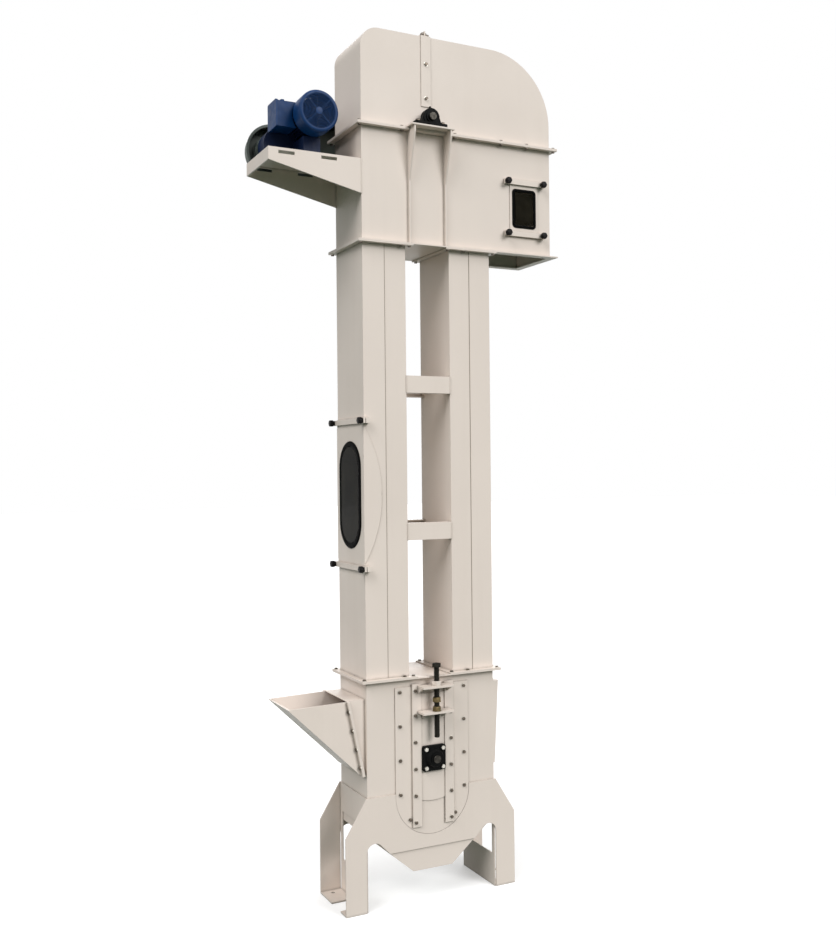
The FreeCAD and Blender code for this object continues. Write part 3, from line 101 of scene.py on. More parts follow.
# Take-up screws and their nuts
screw_radius = 0.011
screw_pitch = 0.005
screw_head_flats = 0.032
screw_head_height = 0.0144
thread_depth = 0.0022
thread_sides = 20
thread_levels = 6
screw_end_chamfer = 0.0015
screw_end_plain = 0.001
nut_flats = 0.030
nut_height = 0.018
nut_washer_sheet = 0.002
slide_gap = 0.0003
bracket_to_lock_nut = 0.036

# Welds
weld_radius = 0.0022
weld_ripple = 0.005
tie_height = 0.066
rib_x = 0.078
rib_half_sheet = 0.003
rib_weld_drop = 0.012

# Seams of the legs and the rolled edge of the leg door
casing_face = 0.127
seam_x = 0.185
seam_step = 0.0012
# The sealant strip is dark enough to paint the shadow line along the seam's step as well
sealant_width = 0.0022
sealant_root = 0.001
sealant_below = 0.0003
sealant_end_gap = 0.005
door_ear_depth = 0.070
door_ear_margin = 0.024
hem_radius = 0.0026
hem_set_in = 0.8
hem_steps = 32

# Rubber lips round the panes
door_lip_width = 0.022
hatch_lip_width = 0.012
hatch_lip_corner = 0.010
lip_lift = 0.0002
lip_section = ((-0.5, 0.0), (-0.46, 0.55), (-0.25, 0.92), (0.0, 1.0),
               (0.25, 0.92), (0.46, 0.55), (0.5, 0.0))

# Clamp knobs. The profile has shares of the radius, and heights.
knob_length = 0.020
knob_radius = 0.0135
knob_profile = ((0.72, 0.0), (0.80, 0.003), (0.97, 0.006), (1.0, 0.009), (1.0, 0.015),
                (0.95, 0.0182), (0.80, 0.0196), (0.45, 0.0200))
stud_radius = 0.004
stud_start = 0.0005

# Bolts of the bearings and of the hood's seam
bearing_bolt_pitch = 0.072
bearing_bolt_seat = 0.1477
bearing_head_flats = 0.0156
bearing_head_height = 0.0074
pillow_bolt_pitch = 0.106
pillow_bolt_seat = 2.989
pillow_y = 0.162
pillow_washer_radius = 0.0125
pillow_washer_sheet = 0.002
pillow_nut_flats = 0.0176
seam_bolt_y = (-0.109, 0.0, 0.109)
seam_bolt_drop = 0.011
seam_half_sheet = 0.0025
seam_bolt_flats = 0.0166
seam_bolt_radius = 0.0052
seam_bolt_start = 0.010
seam_bolt_end = 0.0223
full_nut_height = 0.0094

# Fan cowl and its grille
cowl_sheet = 0.002
cowl_nose = 0.009
cowl_nose_steps = 8
cowl_brim = 0.004
brim_draft = 0.001
shield_width = 0.012
shield_lap = 0.004
shield_gap = 0.0005
shield_levels = (0.001, 0.003)
grille_wire = 0.0022
grille_gap = 0.0032
grille_crown = 0.0004
grille_margin = 0.002
grille_smallest = 0.014
hub_radius = 0.013
hub_crown_radius = 0.0115
spoke_start = 0.010
spoke_half = 0.0014
spoke_back = 0.0015
spoke_front = 0.0009

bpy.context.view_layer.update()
nodes = frame["nodes"]


# Small node-tree helpers

def start_material(name):
    """A new material with an empty tree, its shader and its output."""
    material = bpy.data.materials.new(name)
    material.use_nodes = True
    tree = material.node_tree
    tree.nodes.clear()
    output = tree.nodes.new("ShaderNodeOutputMaterial")
    shader = tree.nodes.new("ShaderNodeBsdfPrincipled")
    tree.links.new(shader.outputs[0], output.inputs["Surface"])
    return material, tree, shader


def coordinates(tree, stretch=(1, 1, 1)):
    """Object coordinates, stretched along the axes."""
    source = tree.nodes.new("ShaderNodeTexCoord")
    mapping = tree.nodes.new("ShaderNodeMapping")
    mapping.inputs["Scale"].default_value = stretch
    tree.links.new(source.outputs["Object"], mapping.inputs["Vector"])
    return mapping.outputs[0]


def noise(tree, scale, detail=3.0, stretch=(1, 1, 1), rough=0.55):
    """The grey value of a noise texture."""
    node = tree.nodes.new("ShaderNodeTexNoise")
    node.inputs["Scale"].default_value = scale
    node.inputs["Detail"].default_value = detail
    node.inputs["Roughness"].default_value = rough
    tree.links.new(coordinates(tree, stretch), node.inputs["Vector"])
    return node.outputs[0]


def remap(tree, value, low, high, new_low=0.0, new_high=1.0):
    """A value moved from one span to another, and held inside it."""
    node = tree.nodes.new("ShaderNodeMapRange")
    node.inputs["From Min"].default_value = low
    node.inputs["From Max"].default_value = high
    node.inputs["To Min"].default_value = new_low
    node.inputs["To Max"].default_value = new_high
    tree.links.new(value, node.inputs["Value"])
    return node.outputs[0]


def multiply(tree, first, second):
    """The product of two values."""
    node = tree.nodes.new("ShaderNodeMath")
    node.operation = "MULTIPLY"
    tree.links.new(first, node.inputs[0])
    tree.links.new(second, node.inputs[1])
    return node.outputs[0]


def blend_colour(tree, share, first, second):
    """A mix of two colours, each a tuple or another node's output."""
    node = tree.nodes.new("ShaderNodeMix")
    node.data_type = "RGBA"
    tree.links.new(share, node.inputs[0])
    for socket, colour in ((node.inputs[6], first), (node.inputs[7], second)):
        if isinstance(colour, tuple):
            socket.default_value = colour + (1.0,)
        else:
            tree.links.new(colour, socket)
    return node.outputs[2]


def bump(tree, height, distance, strength, before=None):
    """A shading normal from a height, on top of an earlier normal."""
    node = tree.nodes.new("ShaderNodeBump")
    node.inputs["Distance"].default_value = distance
    node.inputs["Strength"].default_value = strength
    tree.links.new(height, node.inputs["Height"])
    if before is not None:
        tree.links.new(before, node.inputs["Normal"])
    return node.outputs[0]


def soft_edges(tree, radius):
    """A shading normal that rounds sharp edges, and a mask of those edges."""
    bevel = tree.nodes.new("ShaderNodeBevel")
    bevel.samples = 4
    bevel.inputs["Radius"].default_value = radius
    geometry = tree.nodes.new("ShaderNodeNewGeometry")
    dot = tree.nodes.new("ShaderNodeVectorMath")
    dot.operation = "DOT_PRODUCT"
    tree.links.new(bevel.outputs[0], dot.inputs[0])
    tree.links.new(geometry.outputs["Normal"], dot.inputs[1])
    mask = remap(tree, dot.outputs["Value"], 0.995, 0.80)
    return bevel.outputs[0], mask


def crevices(tree, distance):
    """1 in corners and narrow gaps, and 0 on open faces."""
    node = tree.nodes.new("ShaderNodeAmbientOcclusion")
    node.samples = 6
    node.inputs["Distance"].default_value = distance
    return remap(tree, node.outputs["AO"], 0.92, 0.42)


def upward(tree):
    """How far a surface faces up, from 0 to 1."""
    geometry = tree.nodes.new("ShaderNodeNewGeometry")
    split = tree.nodes.new("ShaderNodeSeparateXYZ")
    tree.links.new(geometry.outputs["Normal"], split.inputs[0])
    return remap(tree, split.outputs["Z"], 0.55, 1.0)


# Materials

def painted_sheet(name, colour, roughness=0.42):
    """Powder-coated sheet: soft tone changes, faint runs, dust on ledges, worn edges, painted shade
    in corners.
    """
    material, tree, shader = start_material(name)
    tone = remap(tree, noise(tree, 1.7, 5), 0.35, 0.70)
    darker = tuple(0.95 * part for part in colour)
    shade = blend_colour(tree, tone, darker, colour)
    runs = remap(tree, noise(tree, 9.0, 4, (1, 1, 0.05)), 0.55, 0.85, 0.0, 0.10)
    shade = blend_colour(tree, runs, shade, paint_dirt)
    film = remap(tree, noise(tree, 14.0, 6), 0.35, 0.75, 0.05, 0.30)
    dust = multiply(tree, upward(tree), film)
    shade = blend_colour(tree, dust, shade, paint_dirt)
    # Painted shade: the colour darkens in corners and narrow gaps, where shade falls, varied in
    # patches
    patches = remap(tree, noise(tree, 22.0, 4), 0.25, 0.7, 0.30, 0.66)
    crevice_shade_share = multiply(tree, crevices(tree, 0.011), patches)
    shade = blend_colour(tree, crevice_shade_share, shade, crevice_shade_colour)
    rounded, edge = soft_edges(tree, 0.0012)
    chips = multiply(tree, edge, remap(tree, noise(tree, 55.0, 5), 0.60, 0.68, 0.0, 0.55))
    shade = blend_colour(tree, chips, shade, primer_grey)
    tree.links.new(shade, shader.inputs["Base Color"])
    gloss = remap(tree, noise(tree, 6.0, 4), 0.3, 0.7, roughness - 0.05, roughness + 0.09)
    tree.links.new(gloss, shader.inputs["Roughness"])
    shader.inputs["Specular IOR Level"].default_value = 0.2
    wavy = bump(tree, noise(tree, 2.6, 2), 0.004, 0.10, rounded)
    peel = bump(tree, noise(tree, 520.0, 2), 0.0002, 0.16, wavy)
    tree.links.new(peel, shader.inputs["Normal"])
    return material


def enamel(name, colour, roughness, casting=0.0, shine=0.3, age=1.0):
    """Machine enamel over a casting or a pressed cover, with dust on its upper faces."""
    material, tree, shader = start_material(name)
    tone = remap(tree, noise(tree, 18.0, 5), 0.35, 0.70)
    shade = blend_colour(tree, tone, tuple(0.75 * part for part in colour), colour)
    film = remap(tree, noise(tree, 60.0, 5), 0.40, 0.75, 0.02 * age, 0.16 * age)
    dust = multiply(tree, upward(tree), film)
    shade = blend_colour(tree, dust, shade, enamel_dust)
    rounded, edge = soft_edges(tree, 0.0010)
    rubbing = remap(tree, noise(tree, 140.0, 4), 0.55, 0.65, 0.0, 0.45 * age)
    worn = multiply(tree, edge, rubbing)
    shade = blend_colour(tree, worn, shade, tuple(3.0 * part + 0.02 for part in colour))
    tree.links.new(shade, shader.inputs["Base Color"])
    gloss = remap(tree, noise(tree, 40.0, 4), 0.3, 0.7, roughness - 0.05, roughness + 0.12)
    tree.links.new(gloss, shader.inputs["Roughness"])
    shader.inputs["Specular IOR Level"].default_value = shine
    grain = bump(tree, noise(tree, 330.0, 3), 0.0006, 0.08 + casting, rounded)
    tree.links.new(grain, shader.inputs["Normal"])
    return material


def metal(name, colour, roughness, spots, stretch=(1, 1, 1), metallic=1.0, shine=0.5):
    """Bare, plated or blackened steel with fine marks along one way."""
    material, tree, shader = start_material(name)
    tone = remap(tree, noise(tree, 90.0, 5, stretch), 0.35, 0.68)
    shade = blend_colour(tree, tone, spots, colour)
    tree.links.new(shade, shader.inputs["Base Color"])
    shader.inputs["Metallic"].default_value = metallic
    shader.inputs["Specular IOR Level"].default_value = shine
    grey = noise(tree, 150.0, 4, stretch)
    gloss = remap(tree, grey, 0.3, 0.7, roughness - 0.07, roughness + 0.12)
    tree.links.new(gloss, shader.inputs["Roughness"])
    rounded, _ = soft_edges(tree, 0.0006)
    marks = bump(tree, noise(tree, 700.0, 3, stretch), 0.0002, 0.18, rounded)
    tree.links.new(marks, shader.inputs["Normal"])
    return material


def moulding(name, colour, roughness, grain_scale, grain, shine=0.1):
    """Moulded plastic or rubber with a fine grain."""
    material, tree, shader = start_material(name)
    tone = remap(tree, noise(tree, 30.0, 5), 0.3, 0.7)
    shade = blend_colour(tree, tone, tuple(0.82 * part for part in colour), colour)
    film = remap(tree, noise(tree, 70.0, 4), 0.4, 0.8, 0.02, 0.14)
    dust = multiply(tree, upward(tree), film)
    shade = blend_colour(tree, dust, shade, moulding_dust)
    tree.links.new(shade, shader.inputs["Base Color"])
    gloss = remap(tree, noise(tree, 80.0, 3), 0.3, 0.7, roughness - 0.06, roughness + 0.10)
    tree.links.new(gloss, shader.inputs["Roughness"])
    rounded, _ = soft_edges(tree, 0.0008)
    skin = bump(tree, noise(tree, grain_scale, 3), 0.0004, grain, rounded)
    tree.links.new(skin, shader.inputs["Normal"])
    shader.inputs["Specular IOR Level"].default_value = shine
    return material


def pane():
    """A mostly opaque pane painted dark, as painted shade of the casing behind it, a little
    see-through, with a faint film of dust.
    """
    material, tree, shader = start_material("pane_painted_dark")
    film = remap(tree, noise(tree, 12.0, 6), 0.40, 0.75)
    # Painted shade of the unlit inside, under a lighter film of dust
    shade = blend_colour(tree, film, pane_painted_shade, pane_film)
    tree.links.new(shade, shader.inputs["Base Color"])
    gloss = remap(tree, noise(tree, 25.0, 4), 0.35, 0.75, 0.04, 0.16)
    tree.links.new(gloss, shader.inputs["Roughness"])
    shader.inputs["Alpha"].default_value = 0.86
    shader.inputs["Specular IOR Level"].default_value = 0.03
    ripple = bump(tree, noise(tree, 7.0, 2), 0.002, 0.05)
    tree.links.new(ripple, shader.inputs["Normal"])
    return material


def make_materials():
    """One finish for each material slot of the record, and some for single pieces."""
    return {
        # Slots of the record
        "casing_paint": painted_sheet("casing_white", paint_white),
        "motor_blue": enamel("motor_enamel", motor_blue, 0.42, shine=0.20, age=0.4),
        "gear_blue": enamel("gear_enamel", gear_blue, 0.46, casting=0.16, shine=0.18, age=0.5),
        "bearing_iron": enamel("bearing_black", casting_black, 0.48,
                               casting=0.14, shine=0.06, age=0.4),
        "sheave_iron": metal("sheave_casting", (0.16, 0.19, 0.17), 0.50, (0.08, 0.10, 0.09),
                             metallic=0.55),
        "zinc_steel": metal("zinc_plate", (0.62, 0.60, 0.55), 0.36, (0.40, 0.38, 0.33)),
        "bright_steel": metal("ground_bar", (0.048, 0.044, 0.038), 0.38, (0.020, 0.018, 0.015),
                              stretch=(1, 0.1, 1), metallic=0.9),
        "pulley_steel": metal("pulley_scale", (0.22, 0.22, 0.22), 0.55, (0.12, 0.11, 0.10),
                              stretch=(1, 0.2, 1), metallic=0.7),
        "rubber": moulding("black_rubber", (0.003, 0.003, 0.003), 0.55, 500.0, 0.25, shine=0.02),
        "belt_rubber": moulding("belt_cover", (0.022, 0.021, 0.020), 0.75, 260.0, 0.40),
        "bucket_plastic": moulding("bucket_resin", (0.62, 0.60, 0.54), 0.48, 300.0, 0.15),
        "black_plastic": moulding("knob_black", (0.004, 0.003, 0.003), 0.36, 420.0, 0.22),
        "pane": pane(),
        # Single pieces
        "screw_oxide": metal("screw_oxide", (0.016, 0.015, 0.011), 0.50, (0.008, 0.007, 0.005),
                             metallic=0.3, shine=0.12),
        "yellow_zinc": metal("yellow_zinc", (0.17, 0.125, 0.060), 0.42, (0.09, 0.070, 0.035)),
        "bolt_oxide": metal("bolt_oxide", (0.15, 0.12, 0.095), 0.42, (0.06, 0.05, 0.04),
                            metallic=0.85),
        # Painted shade: a darker finish for the belt guard, copying its shaded look
        "guard_shaded_paint": enamel("guard_shaded_enamel", guard_shade_green, 0.45),
        # Painted shade: the motor's finned body gets a darker copy of the motor enamel
        "fin_shaded_paint": enamel("fin_shaded_enamel", fin_shade_blue, 0.46, casting=0.06, shine=0.12, age=0.4),
        # Sealant brown, also painted shade for the shadow line of the leg seams
        "sealant_and_shade": moulding("seam_sealant_and_shade", (0.33, 0.27, 0.22), 0.60, 300.0, 0.1),
    }


def dress_nodes(finishes):
    """Give every CAD node the finish of its slot, and two of them a darker finish as painted shade.
    """
    for entry in frame["record"]["subparts"]:
        mesh = nodes[entry["node"]].data
        mesh.materials.clear()
        mesh.materials.append(finishes[entry["material_slot"]])
    # Painted shade: the guard and the motor's finned body get darker finishes than their slots
    for node, finish in (("belt_guard", "guard_shaded_paint"), ("motor_body", "fin_shaded_paint")):
        nodes[node].data.materials.clear()
        nodes[node].data.materials.append(finishes[finish])


# Mesh helpers

def finish_piece(name, builder, material, body, smooth_angle=35):
    """Turn a bmesh into a piece that rides on a body."""
    mesh = bpy.data.meshes.new(name)
    builder.to_mesh(mesh)
    builder.free()
    mesh.materials.append(material)
    piece = bpy.data.objects.new(name, mesh)
    bpy.context.scene.collection.objects.link(piece)
    for face in mesh.polygons:
        face.use_smooth = True
    mesh.set_sharp_from_angle(angle=math.radians(smooth_angle))
    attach(piece, body)
    return piece


def facing(seat, direction):
    """A matrix that puts the local Z axis along a direction, with its origin at a seat."""
    turn = direction.to_track_quat("Z", "Y").to_matrix().to_4x4()
    return Matrix.Translation(seat) @ turn


def ring_points(radius, height, count):
    """Points on a circle about the local Z axis."""
    step = 2 * math.pi / count
    return [Vector((radius * math.cos(step * i), radius * math.sin(step * i), height))
            for i in range(count)]


def loft(builder, rings, place, close_start=True, close_end=True):
    """Skin between rings that have the same count of points."""
    made = [[builder.verts.new(place @ point) for point in ring] for ring in rings]
    count = len(rings[0])
    for low, high in zip(made, made[1:]):
        for i in range(count):
            j = (i + 1) % count
            builder.faces.new((low[i], low[j], high[j], high[i]))
    if close_start:
        builder.faces.new(list(reversed(made[0])))
    if close_end:
        builder.faces.new(made[-1])


def turned(builder, place, profile, sides=64):
    """A closed section turned about the local Z axis."""
    made = [[builder.verts.new(place @ point) for point in ring_points(radius, height, sides)]
            for radius, height in profile]
    for k, here in enumerate(made):
        there = made[(k + 1) % len(made)]
        for i in range(sides):
            j = (i + 1) % sides
            builder.faces.new((here[i], here[j], there[j], there[i]))


def pipe(builder, points, radius, sides=8):
    """A round bar through points."""
    points = [Vector(point) for point in points]
    rings = []
    for i, point in enumerate(points):
        along = points[min(i + 1, len(points) - 1)] - points[max(i - 1, 0)]
        place = facing(point, along.normalized())
        rings.append([place @ corner for corner in ring_points(radius, 0.0, sides)])
    loft(builder, rings, Matrix.Identity(4))


def slab(builder, low, high):
    """An upright block between two corners."""
    corners = [Vector((x, y, low[2])) for x, y in
               ((low[0], low[1]), (high[0], low[1]), (high[0], high[1]), (low[0], high[1]))]
    rise = Vector((0, 0, high[2] - low[2]))
    loft(builder, [corners, [corner + rise for corner in corners]], Matrix.Identity(4))


def hex_head(builder, place, flats, height):
    """A hexagonal head with a chamfered crown."""
    corner = flats / math.sqrt(3)
    rings = [ring_points(corner, 0.0, 6), ring_points(corner, height * 0.80, 6),
             ring_points(flats * 0.47, height, 6)]
    loft(builder, rings, place, close_start=False)


def washer(builder, place, radius, sheet, sides=20):
    """A round washer with a softened edge, open below the head that it carries."""
    rings = [ring_points(radius, 0.0, sides), ring_points(radius, sheet * 0.7, sides),
             ring_points(radius * 0.94, sheet, sides), ring_points(radius * 0.4, sheet, sides)]
    loft(builder, rings, place, close_start=False, close_end=False)


# Bolts of the casing

def mesh_islands(mesh):
    """The loose parts of a mesh, each as its faces' normals, areas and centres."""
    builder = bmesh.new()
    builder.from_mesh(mesh)
    bmesh.ops.remove_doubles(builder, verts=builder.verts, dist=1e-6)
    waiting = set(builder.faces)
    islands = []
    while waiting:
        stack = [waiting.pop()]
        found = []
        while stack:
            face = stack.pop()
            found.append((face.normal.copy(), face.calc_area(), face.calc_center_median()))
            for edge in face.edges:
                for other in edge.link_faces:
                    if other in waiting:
                        waiting.remove(other)
                        stack.append(other)
        islands.append(found)
    builder.free()
    return islands


def head_axis(faces):
    """The centre line of a bolt head: the way that its two largest faces look."""
    sums = {}
    for normal, area, _ in faces:
        key = tuple(round(abs(part), 2) for part in normal)
        total, _ = sums.get(key, (0.0, normal))
        sums[key] = (total + area, normal)
    return max(sums.values(), key=lambda item: item[0])[1]


def seat_and_way(faces, tree):
    """Where a head sits and the way that it points, from what lies nearest to its ends."""
    axis = head_axis(faces)
    ends = [[centre for normal, _, centre in faces if normal.dot(axis * side) > 0.99]
            for side in (1, -1)]
    points = [sum(end, Vector()) / len(end) for end in ends]
    gaps = [tree.find_nearest(point)[3] for point in points]
    if gaps[0] < gaps[1]:
        return points[0], -axis
    return points[1], axis


def carrier_tree(names):
    """One search tree over the nodes that the bolts sit on."""
    points = []
    faces = []
    for name in names:
        mesh = nodes[name].data
        start = len(points)
        points += [vertex.co.copy() for vertex in mesh.vertices]
        faces += [[start + index for index in face.vertices] for face in mesh.polygons]
    return BVHTree.FromPolygons(points, faces)


def make_bolts(finishes):
    """Washers and chamfered heads in place of the plain heads of the CAD node."""
    tree = carrier_tree([name for name in nodes if name != "casing_bolts"])
    heads = bmesh.new()
    washers = bmesh.new()
    for faces in mesh_islands(nodes["casing_bolts"].data):
        seat, way = seat_and_way(faces, tree)
        place = facing(seat, way)
        washer(washers, place, washer_radius, washer_sheet)
        raised = place @ Matrix.Translation((0, 0, washer_sheet))
        hex_head(heads, raised, bolt_head_flats, bolt_head_height)
    piece = finish_piece("bolt_heads", heads, finishes["bolt_oxide"], "frame")
    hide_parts("casing_bolts")
    finish_piece("bolt_washers", washers, finishes["zinc_steel"], "frame")


# Take-up screws

def thread_radius(turns):
    """The radius of a rounded trapezoid thread at a place along it, counted in turns."""
    wave = 0.5 + 0.5 * math.cos(2 * math.pi * (turns % 1.0))
    wave = min(1.0, max(0.0, (wave - 0.15) / 0.7))
    return screw_radius - thread_depth * (1.0 - wave)


def threaded_rod(builder, low, high, across):
    """An upright rod with a helical thread and a chamfered lower end."""
    count = int((high - low) / (screw_pitch / thread_levels))
    rings = []
    for level in range(count + 1):
        z = low + (high - low) * level / count
        end_radius = screw_radius - screw_end_chamfer + max(0.0, z - low - screw_end_plain)
        ring = []
        for i in range(thread_sides):
            angle = 2 * math.pi * i / thread_sides
            radius = min(thread_radius((z - low) / screw_pitch - i / thread_sides), end_radius)
            ring.append(Vector((radius * math.cos(angle), radius * math.sin(angle), z)))
        rings.append(ring)
    loft(builder, rings, Matrix.Translation((across[0], across[1], 0)))


def slide_bracket_top():
    """The top of the bracket that a take-up screw pushes on."""
    mesh = nodes["slide_plates"].data
    reach = min(vertex.co.y for vertex in mesh.vertices)
    return max(vertex.co.z for vertex in mesh.vertices if vertex.co.y < reach + 0.001)


def make_screw(node, body, finishes):
    """A threaded take-up screw with a hexagonal head and two plated nuts."""
    low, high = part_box(node)
    x = (low.x + high.x) / 2
    y = (low.y + high.y) / 2
    head_seat = high.z - screw_head_height
    rod = bmesh.new()
    threaded_rod(rod, low.z, head_seat, (x, y))
    hex_head(rod, Matrix.Translation((x, y, head_seat)), screw_head_flats, screw_head_height)
    piece = finish_piece(node + "_thread", rod, finishes["screw_oxide"], body, 50)
    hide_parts(node)
    nuts = bmesh.new()
    bracket = slide_bracket_top()
    for start in (bracket + slide_gap, bracket + bracket_to_lock_nut):
        place = Matrix.Translation((x, y, start))
        hex_head(nuts, place, nut_flats, nut_height)
        washer(nuts, place, nut_flats * 0.55, nut_washer_sheet)
    finish_piece(node + "_nuts", nuts, finishes["yellow_zinc"], body)


# Welds

def bead(builder, points):
    """A rippled weld along straight runs."""
    for start, end in zip(points, points[1:]):
        start = Vector(start)
        end = Vector(end)
        length = (end - start).length
        place = facing(start, (end - start).normalized())
        steps = max(4, int(length / (weld_ripple / 2)))
        rings = []
        for i in range(steps + 1):
            along = length * i / steps
            ripple = 0.82 + 0.18 * (i % 2)
            ripple *= 1.0 + 0.10 * math.sin(along * 61.0) * math.sin(along * 23.0)
            rings.append(ring_points(weld_radius * ripple, along, 6))
        loft(builder, rings, place)


def make_welds(finishes):
    """Fillet welds where the platform, the ties and the ribs meet the casing."""
    welds = bmesh.new()
    low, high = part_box("motor_platform")
    for y in (low.y, high.y):
        bead(welds, [(high.x, y, low.z), (high.x, y, high.z)])
    bead(welds, [(high.x, low.y, high.z), (high.x, high.y, high.z)])
    low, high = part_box("leg_ties")
    for y in (low.y, high.y):
        for x in (low.x, high.x):
            bead(welds, [(x, y, low.z), (x, y, low.z + tie_height)])
            bead(welds, [(x, y, high.z - tie_height), (x, y, high.z)])
    low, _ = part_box("head_bearing_brackets")
    _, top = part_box("head_casing")
    for rib in (-rib_x, rib_x):
        for y in (-casing_face, casing_face):
            for x in (rib - rib_half_sheet, rib + rib_half_sheet):
                bead(welds, [(x, y, low.z), (x, y, top.z - rib_weld_drop)])
    finish_piece("weld_beads", welds, finishes["casing_paint"], "frame", 60)


# Small forms on the legs

def make_leg_seams(finishes):
    """A dark line of sealant down the step where the two halves of each leg meet, also painting the
    step's shadow line.
    """
    seams = bmesh.new()
    low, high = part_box("up_leg_casing")
    for side in (-1, 1):
        for face in (-1, 1):
            x = sorted((side * (seam_x - sealant_width), side * seam_x))
            y = sorted((face * (casing_face - seam_step - sealant_root),
                        face * (casing_face - sealant_below)))
            slab(seams, (x[0], y[0], low.z + sealant_end_gap),
                 (x[1], y[1], high.z - sealant_end_gap))
    finish_piece("leg_sealant_and_shade", seams, finishes["sealant_and_shade"], "frame")


def make_door_hem(finishes):
    """The rolled edge of the ears that fold round the feed leg."""
    hem = bmesh.new()
    low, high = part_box("leg_door")
    bottom_low, bottom_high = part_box("leg_knob_low_front")
    top_low, top_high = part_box("leg_knob_top_front")
    start = (bottom_low.z + bottom_high.z) / 2 + door_ear_margin
    end = (top_low.z + top_high.z) / 2 - door_ear_margin
    half = (end - start) / 2
    radius = (half ** 2 + door_ear_depth ** 2) / (2 * door_ear_depth)
    reach = math.asin(half / radius)
    for y in (low.y + hem_radius * hem_set_in, high.y - hem_radius * hem_set_in):
        points = []
        for i in range(hem_steps + 1):
            angle = reach * (2 * i / hem_steps - 1)
            points.append((high.x - radius * (1 - math.cos(angle)), y,
                           (start + end) / 2 + radius * math.sin(angle)))
        pipe(hem, points, hem_radius)
    finish_piece("door_hem", hem, finishes["casing_paint"], "frame", 60)


# Rubber lips round the panes

def rounded_outline(half_width, half_height, radius, corner_steps):
    """A closed rectangle with round corners, about its own centre."""
    points = []
    for quarter, (across, up) in enumerate(((1, 1), (-1, 1), (-1, -1), (1, -1))):
        for i in range(corner_steps + 1):
            angle = math.pi / 2 * (quarter + i / corner_steps)
            points.append((across * (half_width - radius) + radius * math.cos(angle),
                           up * (half_height - radius) + radius * math.sin(angle)))
    return points


def turned_outline(place, outline):
    """Swap an outline's axes where the seat's own second axis isn't upright."""
    if abs(place.col[1][2]) > 0.5:
        return outline
    return [(v, u) for u, v in outline]


def lip(builder, outline, place, width, height):
    """A half-round rubber lip swept round a closed outline."""
    made = []
    for i, (u, v) in enumerate(outline):
        before = Vector(outline[i - 1])
        after = Vector(outline[(i + 1) % len(outline)])
        along = (after - before).normalized()
        side = Vector((along.y, -along.x)) * width
        made.append([builder.verts.new(place @ Vector((u + side.x * a, v + side.y * a, h * height)))
                     for a, h in lip_section])
    for i, here in enumerate(made):
        there = made[(i + 1) % len(made)]
        for k in range(len(lip_section) - 1):
            builder.faces.new((here[k], there[k], there[k + 1], here[k + 1]))


def make_seals(finishes):
    """Rounded rubber lips in place of the two flat channels."""
    low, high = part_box("leg_door_seal")
    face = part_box("leg_door")[0].x
    half = (high.y - low.y - door_lip_width) / 2
    tall = (high.z - low.z - door_lip_width) / 2
    seat = Vector((face + lip_lift, 0, (low.z + high.z) / 2))
    place = facing(seat, Vector((-1, 0, 0)))
    # Just under half the width, so that the ends are round and no two points fall together
    outline = turned_outline(place, rounded_outline(half, tall, half - 0.0001, 16))
    seal = bmesh.new()
    lip(seal, outline, place, door_lip_width, face - low.x)
    piece = finish_piece("leg_door_lip", seal, finishes["rubber"], "frame", 60)
    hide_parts("leg_door_seal")

    low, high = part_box("hatch_seal")
    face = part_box("hatch_door")[0].y
    half = (high.x - low.x - hatch_lip_width) / 2
    tall = (high.z - low.z - hatch_lip_width) / 2
    seat = Vector(((low.x + high.x) / 2, face + lip_lift, (low.z + high.z) / 2))
    place = facing(seat, Vector((0, -1, 0)))
    outline = turned_outline(place, rounded_outline(half, tall, hatch_lip_corner, 8))
    seal = bmesh.new()
    lip(seal, outline, place, hatch_lip_width, face - low.y)
    piece = finish_piece("hatch_lip", seal, finishes["rubber"], "frame", 60)
    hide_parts("hatch_seal")


# Knobs, bolts on the bearings and the fan cowl

def lobed_ring(radius, height, lobes=6, depth=0.09, count=48):
    """Points on a circle that is drawn in between its lobes."""
    points = []
    for i in range(count):
        angle = 2 * math.pi * i / count
        reach = radius * (1 - depth * (0.5 - 0.5 * math.cos(lobes * angle)))
        points.append(Vector((reach * math.cos(angle), reach * math.sin(angle), height)))
    return points


def make_knob(door, spot, direction, finishes):
    """A moulded clamp knob with six lobes, a domed top and a plated stud."""
    node = door + "_knob_" + spot
    body = "knob_" + door + "_" + spot
    low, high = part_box(node)
    span = abs((high - low).dot(direction))
    tip = (low + high) / 2 + direction * (span / 2)
    place = facing(tip - direction * knob_length, direction)
    grip = bmesh.new()
    rings = [lobed_ring(knob_radius * share, height) for share, height in knob_profile]
    loft(grip, rings, place)
    piece = finish_piece(node + "_grip", grip, finishes["black_plastic"], body, 50)
    stud = bmesh.new()
    ends = [ring_points(stud_radius, height, 16) for height in (stud_start, knob_length - span)]
    loft(stud, ends, place)
    finish_piece(node + "_stud", stud, finishes["zinc_steel"], body)
    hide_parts(node)


